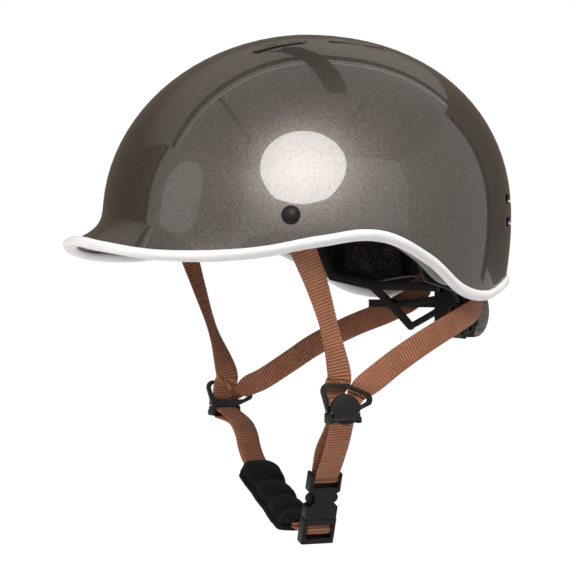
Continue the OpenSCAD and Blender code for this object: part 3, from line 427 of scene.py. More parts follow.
def shell_paint():
    """Metallic paint: fine flakes under a clear coat"""
    colour = settings().shell_colour
    material, tree, shader = new_material("shell_paint")
    place = object_place(tree)
    flakes = noise(tree, place, scale=1900, detail=1.0)
    cloud = noise(tree, place, scale=14)
    tones = [(0.34, tint(colour, 0.5)), (0.52, colour), (0.74, tint(colour, 2.1))]
    tree.links.new(ramp(tree, scale_add(tree, cloud, 0.12, flakes), tones),
                   shader.inputs["Base Color"])
    tree.links.new(span(tree, flakes, 0.34, 0.46), shader.inputs["Roughness"])
    set_inputs(shader, {"Metallic": 0.82, "Coat Weight": 1.0, "Coat Roughness": 0.035,
                        "Coat IOR": 1.58})
    bump(tree, shader, flakes, 0.06, 0.0002)
    return material


def moulded(name, colour, roughness, grain, depth, spread, specular=0.2):
    """Moulded plastic with a fine grain and slight variation"""
    material, tree, shader = new_material(name)
    place = object_place(tree)
    fine = noise(tree, place, grain)
    patches = noise(tree, place, scale=60, detail=3.0)
    tones = [(0.3, tint(colour, 1 - spread / 2)), (0.7, tint(colour, 1 + spread / 2))]
    tree.links.new(ramp(tree, patches, tones), shader.inputs["Base Color"])
    tree.links.new(span(tree, patches, roughness - 0.06, roughness + 0.06),
                   shader.inputs["Roughness"])
    set_inputs(shader, {"Specular IOR Level": specular})
    bump(tree, shader, fine, 0.35, depth)
    return material


def bead_foam():
    """Expanded bead foam: packed dark cells with pale flecks on their edges"""
    material, tree, shader = new_material("foam")
    place = object_place(tree)
    beads = cells(tree, place, scale=380)
    flecks = noise(tree, place, scale=620, detail=3.0, rough=0.7)
    patches = noise(tree, place, scale=70)
    tones = [(0.0, (0.004, 0.004, 0.0036)), (0.7, (0.007, 0.0066, 0.0058)),
             (0.79, (0.03, 0.024, 0.017)), (0.9, (0.085, 0.068, 0.048))]
    tree.links.new(ramp(tree, scale_add(tree, patches, 0.35, flecks), tones),
                   shader.inputs["Base Color"])
    set_inputs(shader, {"Roughness": 0.7, "Specular IOR Level": 0.12})
    first = bump(tree, shader, beads, 0.6, 0.0006)
    bump(tree, shader, flecks, 0.3, 0.0002, first)
    return material


def webbing_cloth():
    """Ribbed webbing: ribs run across, by the length in the UV map, with painted shade in the
    grooves and painted highlights on the rib tops
    """
    s = settings()
    colour = s.webbing_colour
    material, tree, shader = new_material("webbing")
    uv = node(tree, "ShaderNodeUVMap", uv_map="UVMap")
    split = node(tree, "ShaderNodeSeparateXYZ")
    tree.links.new(uv.outputs["UV"], split.inputs["Vector"])
    turn = node(tree, "ShaderNodeMath", {1: 2 * math.pi / s.rib_pitch}, operation="MULTIPLY")
    tree.links.new(split.outputs["X"], turn.inputs[0])
    wave = node(tree, "ShaderNodeMath", operation="COSINE")
    tree.links.new(turn.outputs[0], wave.inputs[0])
    place = object_place(tree)
    yarn = noise(tree, place, scale=2400)
    worn = noise(tree, place, scale=90, detail=3.0)
    # Colour of the ribs: painted shade in the grooves and painted highlights on the rib tops, over
    # the yarn's own random tone
    lit = scale_add(tree, yarn, 0.55, span(tree, wave.outputs[0], 0.0, 0.55, (-1, 1)))
    tones = [(0.2, tint(colour, 0.3)), (0.42, tint(colour, 0.8)), (0.8, tint(colour, 1.22))]
    shade = node(tree, "ShaderNodeMix", {"Factor": 1.0}, data_type="RGBA", blend_type="MULTIPLY")
    tree.links.new(ramp(tree, lit, tones), shade.inputs["A"])
    tree.links.new(ramp(tree, worn, [(0.3, (0.82, 0.8, 0.78)), (0.7, (1, 1, 1))]),
                   shade.inputs["B"])
    tree.links.new(shade.outputs["Result"], shader.inputs["Base Color"])
    set_inputs(shader, {"Roughness": 0.72, "Specular IOR Level": 0.25, "Sheen Weight": 0.12,
                        "Sheen Roughness": 0.4})
    first = bump(tree, shader, wave.outputs[0], 0.5, 0.0002)
    bump(tree, shader, yarn, 0.4, 0.00012, first)
    return material


def pad_cloth(name, colour):
    """Brushed knit: fine loops and a soft sheen"""
    material, tree, shader = new_material(name)
    place = object_place(tree)
    loops = cells(tree, place, scale=1500)
    fuzz = noise(tree, place, scale=420, detail=4.0)
    tones = [(0.35, tint(colour, 0.55)), (0.6, colour), (0.85, tint(colour, 2.2))]
    tree.links.new(ramp(tree, fuzz, tones), shader.inputs["Base Color"])
    set_inputs(shader, {"Roughness": 0.92, "Specular IOR Level": 0.08, "Sheen Weight": 0.03,
                        "Sheen Roughness": 0.5})
    first = bump(tree, shader, loops, 0.35, 0.0002)
    bump(tree, shader, fuzz, 0.3, 0.0003, first)
    return material


def metal(name, colour, roughness):
    """Bright steel with lines drawn out along its length"""
    material, tree, shader = new_material(name)
    lines = noise(tree, object_place(tree, (1, 1, 18)), scale=300, detail=3.0)
    tree.links.new(ramp(tree, lines, [(0.3, tint(colour, 0.75)), (0.7, colour)]),
                   shader.inputs["Base Color"])
    set_inputs(shader, {"Metallic": 1.0})
    tree.links.new(span(tree, lines, roughness - 0.08, roughness + 0.1),
                   shader.inputs["Roughness"])
    return material


MADE = {}


def finish_named(name):
    """The material of a record slot, made once"""
    s = settings()
    makers = {
        "shell_paint": shell_paint,
        "trim_plastic": lambda: moulded(
            name, s.trim_colour, 0.42, grain=1500, depth=0.00005, spread=0.04, specular=0.4),
        "wrap_plastic": lambda: moulded(
            name, (0.16, 0.145, 0.125), 0.36, grain=900, depth=0.00005, spread=0.25),
        "foam": bead_foam,
        "black_plastic": lambda: moulded(
            name, s.plastic_colour, 0.44, grain=2600, depth=0.00012, spread=0.4),
        "knob_plastic": lambda: moulded(
            name, (0.085, 0.078, 0.068), 0.22, grain=500, depth=0.00008, spread=0.8,
            specular=0.6),
        "gear_plastic": lambda: moulded(
            name, (0.5, 0.47, 0.43), 0.4, grain=1200, depth=0.00004, spread=0.1),
        "steel": lambda: metal(name, (0.09, 0.087, 0.083), 0.38),
        "pad_fabric": lambda: pad_cloth(name, (0.0085, 0.0083, 0.0078)),
        "hook_tape": lambda: pad_cloth(name, (0.02, 0.02, 0.02)),
        "webbing": webbing_cloth,
    }
    if name not in MADE:
        MADE[name] = makers[name]()
    return MADE[name]


def finish_piece(obj, body, slot, *nodes):
    """Gives a piece its finish, its body and the frame solids that it stands in for"""
    obj.data.materials.clear()
    obj.data.materials.append(finish_named(slot))
    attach(obj, body)
    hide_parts(*nodes)
    return obj


def keep_node(name, slot):
    """A frame solid whose shape is right: it only gets its finish"""
    data = NODES[name].data
    data.materials.clear()
    data.materials.append(finish_named(slot))


# Shell, trim and liner
def dome(name, rows, top):
    """A smooth bowl from rows of points, the lowest first, started from a sphere's upper half"""
    turns, ball, below = len(rows[0]), 0.1, 0.0005
    clear_selection()
    bpy.ops.mesh.primitive_uv_sphere_add(segments=turns, ring_count=2 * len(rows), radius=ball)
    obj = bpy.context.object
    obj.name = name
    bpy.ops.object.mode_set(mode="EDIT")
    bpy.ops.mesh.select_all(action="SELECT")
    bpy.ops.mesh.bisect(plane_co=(0, 0, -below), plane_no=(0, 0, 1), clear_inner=True)
    bpy.ops.object.mode_set(mode="OBJECT")
    work = bmesh.new()
    work.from_mesh(obj.data)
    cut_edge = [v for v in work.verts if v.co.z < -0.8 * below]
    bmesh.ops.delete(work, geom=cut_edge, context="VERTS")
    step = math.pi / (2 * len(rows))
    for v in work.verts:
        row = round(math.asin(max(-1, min(1, v.co.z / ball))) / step)
        if row >= len(rows):
            v.co = Vector(top) * MM
            continue
        turn = math.degrees(math.atan2(v.co.x, -v.co.y)) % 360
        v.co = rows[row][round(turn * turns / 360) % turns] * MM
    work.to_mesh(obj.data)
    work.free()
    return obj


def meridian(bottom, height, low_rows, high_rows):
    """Heights of the rows of one meridian, from its lower end to just under the crown"""
    low = [mix(bottom, VISOR_START, i / low_rows) for i in range(low_rows + 1)]
    start = math.degrees(math.asin(VISOR_START / height))
    return low + [height * sind(mix(start, 90, j / high_rows)) for j in range(1, high_rows)]


def turned(axis, angle):
    """A turn about an axis, in degrees"""
    return Matrix.Rotation(math.radians(angle), 4, axis)


def slot_cutters(widen=0.0, top_length=36):
    """Rounded bars for the vents: three in each top row and two at each side of the nape"""
    width = 6 + widen
    made = []
    for side in (-1, 1):
        turn = turned("Y", side * 16) @ turned("Z", 90)
        for y, longer in ((-35, -2), (14.5, 1), (60, -7)):
            place = (side * 34, y, HEIGHT * 0.8)
            made.append(slot_bar(place, turn, top_length + longer, width, HEIGHT * 0.75))
        turn = turned("Z", -side * 26) @ turned("X", 90)
        for z in (10.5, -3.5):
            place = (side * 49.5, HALF_LENGTH * 0.8, z)
            made.append(slot_bar(place, turn, 27, width, HALF_LENGTH * 0.75))
    return made


def slot_bar(place, turn, length, width, depth):
    """One slot's cutter: a bar with round ends, turned and then put in its place"""
    clear_selection()
    bpy.ops.mesh.primitive_cube_add(size=1, location=(0, 0, 0))
    obj = bpy.context.object
    obj.scale = (length * MM, width * MM, depth * MM)
    bpy.ops.object.transform_apply(location=False, rotation=False, scale=True)
    bpy.ops.object.mode_set(mode="EDIT")
    bpy.ops.mesh.select_all(action="DESELECT")
    bpy.ops.object.mode_set(mode="OBJECT")
    for edge in obj.data.edges:
        a, b = (obj.data.vertices[i].co for i in edge.vertices)
        edge.select = abs(a.z - b.z) > depth * MM * 0.9
    bpy.ops.object.mode_set(mode="EDIT")
    bpy.ops.mesh.select_mode(type="EDGE")
    bpy.ops.mesh.bevel(offset=(width / 2 - 0.01) * MM, segments=8)
    bpy.ops.object.mode_set(mode="OBJECT")
    obj.matrix_world = Matrix.Translation(Vector(place) * MM) @ turn
    apply_place(obj)
    return obj


def make_shell():
    """The painted shell: a smooth skin with a wall, vents and broken edges"""
    turns, low_rows, high_rows = 144, 12, 22
    angles = [i * 360 / turns for i in range(turns)]
    heights = [meridian(rim_z(a) + 0.6, HEIGHT, low_rows, high_rows) for a in angles]
    rows = [[skin(a, heights[k][r]) for k, a in enumerate(angles)]
            for r in range(low_rows + high_rows)]
    obj = dome("shell_skin", rows, (0, 0, HEIGHT))
    face_outwards(obj)
    modify(obj, "SOLIDIFY", thickness=SHELL_WALL * MM, offset=-1, use_even_offset=True)
    cut(obj, slot_cutters())
    modify(obj, "BEVEL", width=0.55 * MM, segments=2, limit_method="ANGLE",
           angle_limit=math.radians(50))
    smooth(obj, 40)
    return finish_piece(obj, "helmet", "shell_paint", "outer_shell")


def make_trim():
    """The bead on the shell's edge, round outside and with a groove that holds the wall"""
    turns, steps, wrap = 216, 22, 148
    lip = TRIM_R * 0.85
    half = SHELL_WALL / 2 + 0.22
    rings = []
    for i in range(turns):
        a = i * 360 / turns
        z = rim_z(a)
        down, out = skin_down(a), skin_normal(a, z)
        centre = skin_inset(a, z, SHELL_WALL / 2)
        around = [mix(-wrap, wrap, k / steps) for k in range(steps + 1)]
        ring = [centre + TRIM_R * (cosd(t) * down + sind(t) * out) for t in around]
        ring += [centre + along * down + across * out for along, across in (
            (-lip, half), (-0.3, half), (-0.3, -half), (-lip, -half))]
        rings.append(ring)
    obj = ring_piece("trim_bead", rings, closed=True)
    smooth(obj, 50)
    return finish_piece(obj, "helmet", "trim_plastic", "edge_trim")


def rivet_frame():
    """Directions at the left rivet: out of the shell, along it to the back, and down"""
    out = skin_normal(RIVET_ANGLE, RIVET_Z)
    along = Vector((-out.y, out.x, 0)).normalized()
    down = along.cross(out).normalized()
    return out, along, -down if down.z > 0 else down


def strap_pocket_cutters():
    """Hollows of the front straps and of the rear straps' slots"""
    made = []
    deep, thick, above, below, ahead, behind = 11, 11, 13, 49, 14, 9
    out, along, down = rivet_frame()
    base = skin_inset(RIVET_ANGLE, RIVET_Z, deep)
    wide = behind + below * math.tan(math.radians(FRONT_LEAN))
    outline = ((-above, -ahead), (-above, behind), (below, wide), (below, -behind))
    walls = [(0, 1, 2, 3), (4, 5, 6, 7), (0, 1, 5, 4), (1, 2, 6, 5), (2, 3, 7, 6), (3, 0, 4, 7)]
    for side in (-1, 1):
        corners = [base + d * down + t * along + u * out for u in (0, thick) for d, t in outline]
        box = mesh_piece("pocket", [(side * p.x, p.y, p.z) for p in corners], walls)
        face_outwards(box)
        made.append(box)
        clear_selection()
        bpy.ops.mesh.primitive_cube_add(size=1, location=(0, 0, 0))
        box = bpy.context.object
        box.scale = (17 * MM, 4 * MM, 70 * MM)
        box.rotation_euler = (0, 0, math.radians(-side * REAR_SLOT_TURN))
        box.location = (side * REAR_ANCHOR.x * MM, REAR_ANCHOR.y * MM, -22 * MM)
        apply_place(box)
        made.append(box)
    return made


def channel_cutters():
    """Upright air channels on the foam's inside, at both sides behind the ears and at the brow"""
    steps, bottom, top = 8, -60, 62
    made = []
    for a in (28, 146, 118, 52):
        for side in (-1, 1):
            rings = []
            for k in range(steps + 1):
                z = mix(bottom, top, k / steps)
                p, n = cavity(a, z), cavity_normal(a, max(z, -20) if z < 0 else z)
                t = Vector((-n.y, n.x, 0)).normalized()
                depth = 6 * clamp01((70 - z) / 30)
                ring = [p + t * u + n * v for u, v in ((-4, -4), (4, -4), (3, depth), (-3, depth))]
                rings.append([Vector((side * q.x, q.y, q.z)) for q in ring])
            made.append(ring_piece("channel", rings))
    return made


def row_faces(start, turns, rows, inwards=False):
    """Quads between rows of points that are numbered on from start"""
    faces = []
    for r in range(rows - 1):
        for i in range(turns):
            j = (i + 1) % turns
            low, high = start + r * turns, start + (r + 1) * turns
            around = (low + i, low + j, high + j, high + i)
            faces.append((around[0], *reversed(around[1:])) if inwards else around)
    return faces


def make_foam():
    """The bead foam: outer bowl, cavity and lower edge, less its pockets, channels and vents"""
    turns, low_rows, high_rows = 144, 10, 16
    height_out = HEIGHT - FOAM_OUT
    height_in = height_out - FOAM_THICK
    outer, inner = [], []
    for k in range(turns):
        a = k * 360 / turns
        b = foam_bottom(a)
        heights = meridian(b + 5.7, height_out, low_rows, high_rows)
        outer.append([foam_step(a, b + 0.8), foam_step(a, b + 4.2)]
                     + [foam_outer(a, z) for z in heights])
        heights = meridian(b + 1.2, height_in, low_rows, high_rows)
        first = cavity(a, b)
        lip = Vector((first.x, first.y, 0)).normalized()
        inner.append([first + 1.2 * lip] + [cavity(a, z) for z in heights])
    rows_out, rows_in = len(outer[0]), len(inner[0])
    points = [column[r] for r in range(rows_out) for column in outer]
    points += [column[r] for r in range(rows_in) for column in inner]
    points += [Vector((0, 0, height_out)), Vector((0, 0, height_in))]
    base, tops = rows_out * turns, (rows_out + rows_in) * turns
    last_out, last_in = base - turns, tops - turns
    faces = row_faces(0, turns, rows_out) + row_faces(base, turns, rows_in, inwards=True)
    pairs = [(i, (i + 1) % turns) for i in range(turns)]
    faces += [(last_out + i, last_out + j, tops) for i, j in pairs]
    faces += [(last_in + j, last_in + i, tops + 1) for i, j in pairs]
    faces += [(j, i, base + i, base + j) for i, j in pairs]
    obj = mesh_piece("foam_body", points, faces)
    face_outwards(obj)
    cut(obj, strap_pocket_cutters() + channel_cutters() + slot_cutters(1.0, 37))
    smooth(obj, 45)
    return finish_piece(obj, "helmet", "foam", "foam_liner")


def make_wrap():
    """The narrow band under the foam's edge, with rounded edges"""
    turns, width, thick = 180, 7.0, 1.2
    profile = ((0.3, 0), (width - 0.5, 0), (width, -0.35), (width, -0.85), (width - 0.5, -thick),
               (0.3, -thick), (0, -0.9), (0, -0.3))
    rings = []
    for i in range(turns):
        a = i * 360 / turns
        p = foam_step(a, foam_bottom(a) - GAP)
        inwards = -Vector((p.x, p.y, 0)).normalized()
        rings.append([p + u * inwards + Vector((0, 0, v)) for u, v in profile])
    obj = ring_piece("wrap_band", rings, closed=True)
    cut(obj, strap_pocket_cutters())
    smooth(obj, 45)
    return finish_piece(obj, "helmet", "wrap_plastic", "lower_wrap")


# Pads: their lift off the foam by the hook discs, and their thickness at the edge and inside
PAD_LIFT, PAD_EDGE, PAD_THICK = 2.5, 1.2, 5.5
# Length of one degree along the foam's inside
MM_PER_DEGREE = 1.7


def pad_patch(name, a0, a1, z0, z1, channels):
    """A crowned pad with a flat sewn edge and channels that run up and down"""
    across, up = max(24, int(abs(a1 - a0) * 0.8)), 14
    length, hem, run = abs(a1 - a0) * MM_PER_DEGREE, 1.2, 5.0
    top, under = [], []
    for i in range(across + 1):
        for j in range(up + 1):
            u, v = i / across, j / up
            a, z = mix(a0, a1, u), mix(z0, z1, v)
            edge = min(min(u, 1 - u) * length, min(v, 1 - v) * (z1 - z0))
            slope = clamp01((edge - hem) / run)
            rise = math.sqrt(clamp01(1 - (1 - slope) ** 2))
            seam = 1.0
            for k in range(1, channels):
                seam = min(seam, 0.35 + 0.65 * clamp01(abs(u - k / channels) * length / 3.5) ** 0.6)
            thick = PAD_EDGE + (PAD_THICK - PAD_EDGE) * rise * seam
            base, n = cavity(a, z), cavity_normal(a, z)
            top.append(base - (PAD_LIFT + thick) * n)
            under.append(base - PAD_LIFT * n)
    m, off = up + 1, len(top)
    faces = []
    for i in range(across):
        for j in range(up):
            q = (i * m + j, i * m + j + 1, (i + 1) * m + j + 1, (i + 1) * m + j)
            faces += [q, tuple(off + k for k in reversed(q))]
    rim = ([i * m for i in range(across)] + [across * m + j for j in range(up)]
           + [i * m + up for i in range(across, 0, -1)] + list(range(up, 0, -1)))
    for a, b in zip(rim, rim[1:] + rim[:1]):
        faces.append((a, b, off + b, off + a))
    obj = mesh_piece(name, top + under, faces)
    face_outwards(obj)
    modify(obj, "SUBSURF", levels=1, render_levels=1)
    smooth(obj, 60)
    return obj


def make_crown_pad():
    """The oval pad under the crown, sewn across its middle"""
    turns, half_wide, half_long = 48, 17, 34
    radii = [0.02, 0.3, 0.6, 0.82, 0.93, 1.0]
    height = HEIGHT - FOAM_OUT - FOAM_THICK
    wide, long = HALF_WIDTH - FOAM_OUT - FOAM_THICK, HALF_LENGTH - FOAM_OUT - FOAM_THICK

    def at(t, r, lower):
        x, y = half_wide * r * sind(t), half_long * r * cosd(t)
        z = height * math.sqrt(1 - (x / wide) ** 2 - (y / long) ** 2) - PAD_LIFT
        seam = 0.45 + 0.55 * clamp01(abs(y) / 3.0) ** 0.6
        rise = math.sqrt(max(0.0, 1 - clamp01((r - 0.1) / 0.83) ** 4)) * seam
        return Vector((x, y, z - (PAD_EDGE + (PAD_THICK - PAD_EDGE) * rise if lower else 0)))

    angles = [-j * 360 / turns for j in range(turns)]
    rings = [[at(t, r, False) for t in angles] for r in radii]
    rings += [[at(t, r, True) for t in angles] for r in reversed(radii)]
    obj = ring_piece("crown_cushion", rings)
    modify(obj, "SUBSURF", levels=1, render_levels=1)
    smooth(obj, 60)
    return obj


# Webbing
# Half of a strap's section, as shares of half its width and half its thickness
HALF_PROFILE = [(-1, 0.35), (-0.93, 0.85), (-0.5, 1), (0, 1), (0.5, 1), (0.93, 0.85), (1, 0.35)]
WEB_PROFILE = HALF_PROFILE + [(-u, -v) for u, v in HALF_PROFILE]
RINGS_PER_RIB = 4
ALONG_BAR = (0, 1, 0)


def spline_vec(values, t):
    """Smooth curve through evenly numbered points, straight at both ends"""
    n = len(values) - 1
    i = min(n - 1, max(0, math.floor(t)))
    f = t - i
    b, c = values[i], values[i + 1]
    a = 2 * b - c if i == 0 else values[i - 1]
    d = 2 * c - b if i + 2 > n else values[i + 2]
    return b + (c - a + (2 * a - 5 * b + 4 * c - d + (3 * (b - c) + d - a) * f) * f) * (0.5 * f)


def webbing(name, stops, mirrored=False):
    """A ribbed strap through stops of (place, direction across, width)"""
    pitch, depth = settings().rib_pitch / MM, settings().rib_depth / MM
    places, acrosses = ([Vector(s[k]) for s in stops] for k in (0, 1))
    widths = [Vector((s[2], 0, 0)) for s in stops]
    n = len(stops) - 1
    ts = [n * k / (n * 60) for k in range(n * 60 + 1)]
    path = [spline_vec(places, t) for t in ts]
    lengths = [0.0]
    for p, q in zip(path, path[1:]):
        lengths.append(lengths[-1] + (q - p).length)
    total = lengths[-1]
    count = max(8, int(total / pitch * RINGS_PER_RIB))
    rings, rows, k = [], [], 0
    for i in range(count + 1):
        s = total * i / count
        while k < len(lengths) - 2 and lengths[k + 1] < s:
            k += 1
        t = mix(ts[k], ts[k + 1], (s - lengths[k]) / max(1e-9, lengths[k + 1] - lengths[k]))
        place = spline_vec(places, t)
        ahead = spline_vec(places, min(n, t + 0.05)) - spline_vec(places, max(0, t - 0.05))
        ahead.normalize()
        across = spline_vec(acrosses, t)
        side = (across - across.dot(ahead) * ahead).normalized()
        face = ahead.cross(side)
        half = spline_vec(widths, t).x / 2
        rib = depth * (0.5 + 0.5 * math.cos(2 * math.pi * s / pitch))
        ring = []
        for u, v in WEB_PROFILE:
            sunk = math.copysign(depth - rib, v) * (1 if abs(u) < 0.9 else 0.3)
            p = place + side * (half * u) + face * (WEB_THICK / 2 * v - sunk)
            ring.append(Vector((-p.x, p.y, p.z)) if mirrored else p)
        rings.append(ring)
        rows.append(s * MM)
    obj = ring_piece(name, rings, uv_rows=rows)
    smooth(obj, 55)
    return obj


# The left divider, how much lower the right one hangs, and from its middle its lower bar and
# its middle bar
DIVIDER, DROP = Vector((91.5, -20, -113.5)), 8.0
BAR = Vector((0.2, 0, -6.5))
MID_BAR_THICK, MID_BAR_LOW = 1.2, -2.4
# The seam between the buckle's halves, and the right divider's bar that the chin swings on
BUCKLE_SEAM = Vector((55.5, -18, -180.5))
HINGE = Vector((-(DIVIDER.x + BAR.x), DIVIDER.y, DIVIDER.z - DROP + BAR.z))
LEAN = math.degrees(math.atan2(HINGE.z - BUCKLE_SEAM.z, BUCKLE_SEAM.x - HINGE.x))
HOUSING_BAR_Z, TONGUE_BAR_Z = 26, -7.6
# Middle of the webbing round the buckle's bars and round a divider's bar
EYE_R = 1.6 + GAP + 0.2 + WEB_THICK / 2
DIVIDER_EYE = 1.5 + GAP + 0.25 + WEB_THICK / 2


def in_buckle(x, y, z):
    """A point of the buckle's own frame, which leans with the chin webbing"""
    across = x * cosd(LEAN) + z * sind(LEAN)
    return BUCKLE_SEAM + Vector((across, y, -x * sind(LEAN) + z * cosd(LEAN)))


def eye(centre, radius, start, end, count):
    """Stops of a turn round a bar whose axis runs along Y"""
    angles = [mix(start, end, i / count) for i in range(count + 1)]
    return [(centre + radius * Vector((cosd(a), 0, sind(a))), ALONG_BAR, WEB_WIDTH)
            for a in angles]


def front_stops(side):
    """From above the rivet, down inside the foam's pocket, to the divider's middle bar"""
    along = rivet_frame()[1]
    lean = FRONT_LEAN if side > 0 else 0
    leaned = cosd(lean) * along + Vector((0, 0, sind(lean)))
    if side > 0:
        turned_to, bow = Vector((-0.4, 0.92, 0.28)), Vector((0, 2.4, 0))
    else:
        turned_to, bow = Vector((0.75, 0.66, 0.2)), Vector((0, 0, 0))
    depth = SHELL_WALL + GAP + 0.6 + WEB_THICK / 2

    def inside(drop, deeper=0):
        place = skin_inset(RIVET_ANGLE, RIVET_Z - drop, depth + deeper)
        return place + drop * math.tan(math.radians(lean)) * along

    hang = inside(20, 3.9)
    end = DIVIDER - Vector((0, 0, DROP if side < 0 else 0))
    over = end + Vector((-1.6, 0, 19))
    layer = MID_BAR_THICK + GAP + WEB_THICK / 2
    return [
        (inside(-9), leaned, WEB_WIDTH), (inside(0), leaned, WEB_WIDTH),
        (inside(7), leaned, WEB_WIDTH), (inside(13, 1.8), leaned, WEB_WIDTH),
        (hang, leaned, WEB_WIDTH),
        (mix(hang, over, 0.3) + bow, mix(leaned, turned_to, 0.6), WEB_WIDTH),
        (mix(hang, over, 0.65) + bow, turned_to, WEB_WIDTH),
        (over, (0, 1, 0.1), WEB_WIDTH),
        (end + Vector((-1.5, -2.6, 13.2)), ALONG_BAR, 13.4),
        (end + Vector((0.7, -3.1, 6.8)), ALONG_BAR, 11.8),
        (end + Vector((layer, -1.2, 2.6)), ALONG_BAR, 12.6),
        (end + Vector((layer, -1, MID_BAR_LOW + 0.5)), ALONG_BAR, 13)]


def rear_stops(side):
    """From the divider's middle bar, over its frame, back under the rim and up into the foam.
    Each stop also says how much of the right divider's drop it takes."""
    drop = Vector((0, 0, DROP if side < 0 else 0))
    layer = MID_BAR_THICK + 2 * GAP + 1.5 * WEB_THICK
    slot_dir = (-cosd(REAR_SLOT_TURN), sind(REAR_SLOT_TURN), 0)
    route = [
        (DIVIDER + Vector((layer, -0.5, MID_BAR_LOW + 2)), (0, 0.95, -0.3), 9, 1),
        (DIVIDER + Vector((layer, 2.6, 3.4)), (0, 0.88, -0.47), 9.6, 1),
        (DIVIDER + Vector((layer - 0.6, 6.4, 5.2)), (0, 0.9, -0.43), 10, 1),
        (DIVIDER + Vector((1.4, 8.7, 6.4)), (0, 0.92, -0.39), 10, 1),
        (DIVIDER + Vector((-1.5, 10.2, 7.8)), (0, 0.88, -0.48), 11, 1),
        (DIVIDER + Vector((-3.2, 15.4, 11.6)), (0, 0.62, -0.78), 14, 1),
        (Vector((84.8, 5, -97)), (0.11, 0.45, -0.76), WEB_WIDTH, 1),
        (Vector((80.5, 21, -87.5)), (0.06, 0.5, -0.82), WEB_WIDTH, 0.85),
        (Vector((78.6, 40, -76.5)), (-0.05, 0.42, -0.9), WEB_WIDTH, 0.75),
        (Vector((71.6, 64, -65.5)), (-0.15, 0.31, -0.94), WEB_WIDTH, 0.6),
        (Vector((57.5, 86.5, -57)), (-0.27, 0.27, -0.92), WEB_WIDTH, 0.3),
        (Vector((43.5, 98.6, -47.5)), (-0.6, 0.4, -0.69), WEB_WIDTH, 0.1),
        (REAR_ANCHOR, slot_dir, WEB_WIDTH, 0),
        (REAR_ANCHOR + Vector((0, 0, 30)), slot_dir, WEB_WIDTH, 0)]
    return [(p - share * drop, across, width) for p, across, width, share in route]


def lower_left_stops():
    """Two layers between the buckle's bar and the left divider's bar"""
    top, bottom = DIVIDER + BAR, in_buckle(0, 0, HOUSING_BAR_Z)

    def at(a, b, t, shift):
        return (mix(a, b, t) + Vector((shift, 0, 0)), ALONG_BAR, WEB_WIDTH)

    return (eye(bottom, EYE_R, 268, 365, 3)
            + [at(bottom, top, 0.25, 4.2), at(bottom, top, 0.6, 4.8), at(bottom, top, 0.85, 3.6)]
            + eye(top, DIVIDER_EYE, -5, 185, 6)
            + [at(top, bottom, 0.2, -4), at(top, bottom, 0.5, -7.5), at(top, bottom, 0.8, -5.2)]
            + eye(bottom, EYE_R, 175, 228, 2))


# Middle line of the chin webbing from the right divider to the buckle, and the gap between
# its two layers
CHIN_ROUTE = [Vector(p) for p in (
    (-70, -18.6, -132.4), (-60.5, -18, -139.5), (-54.6, -18, -148.6), (-44.6, -18, -157.2),
    (-19.8, -18, -170.2), (1.5, -18, -179.2), (21, -18, -186.4), (37, -18, -188.2))]
CHIN_GAP = 0.5


def chin_layer(side):
    """One layer of the chin webbing, above or below its route"""
    made = []
    last = len(CHIN_ROUTE) - 1
    for i, p in enumerate(CHIN_ROUTE):
        d = (CHIN_ROUTE[min(last, i + 1)] - CHIN_ROUTE[max(0, i - 1)]).normalized()
        n = Vector((d.z, 0, -d.x)).normalized()
        made.append((p + side * (CHIN_GAP + WEB_THICK) / 2 * n, ALONG_BAR, WEB_WIDTH))
    return made


def chin_stops():
    """From the tongue's bar along the upper layer, round the right divider's bar and back"""
    bar = in_buckle(0, 0, TONGUE_BAR_Z)
    first = [(bar + EYE_R * Vector((cosd(150), 0, sind(150))), ALONG_BAR, WEB_WIDTH)]
    return (first + eye(bar, EYE_R, 105, -105, 5) + chin_layer(1)[::-1]
            + eye(HINGE, DIVIDER_EYE, 280, 70, 6) + chin_layer(-1))


# Chin pad: its place on the chin webbing's route, and its length and sewn swellings
SLEEVE_FROM, SLEEVE_TO = 3.1, 6.75
SLEEVE_LENGTH, SLEEVE_SWELLINGS = 62, 4
CLOTH_FRAMES = 20


def chin_frame(t):
    """Middle, direction and upper side of the chin webbing at a place on its route"""
    c = spline_vec(CHIN_ROUTE, t)
    d = (spline_vec(CHIN_ROUTE, t + 0.05) - spline_vec(CHIN_ROUTE, t - 0.05)).normalized()
    return c, d, Vector((-d.z, 0, d.x)).normalized()


def blow_up(obj, pressure, cap, voxel):
    """Cloth under pressure turns the sewn shape into a filled one; no point moves past cap"""
    make_active(obj)
    obj.data.remesh_voxel_size = voxel
    bpy.ops.object.voxel_remesh()
    rest = [v.co.copy() for v in obj.data.vertices]
    mod = obj.modifiers.new("Cloth", "CLOTH")
    cloth = mod.settings
    cloth.quality = 5
    cloth.mass = 0.15
    cloth.tension_stiffness = cloth.compression_stiffness = 18
    cloth.shear_stiffness = 8
    cloth.bending_stiffness = 0.4
    cloth.use_pressure = True
    cloth.uniform_pressure_force = pressure
    cloth.effector_weights.gravity = 0
    mod.point_cache.frame_start, mod.point_cache.frame_end = 1, CLOTH_FRAMES
    scene = bpy.context.scene
    for number in range(1, CLOTH_FRAMES + 1):
        scene.frame_set(number)
    shaped = obj.evaluated_get(bpy.context.evaluated_depsgraph_get())
    moved = [v.co.copy() for v in shaped.data.vertices]
    obj.modifiers.remove(mod)
    scene.frame_set(1)
    for v, start, end in zip(obj.data.vertices, rest, moved):
        step = end - start
        if step.length > cap:
            step = step.normalized() * cap
        v.co = start + step
    return obj


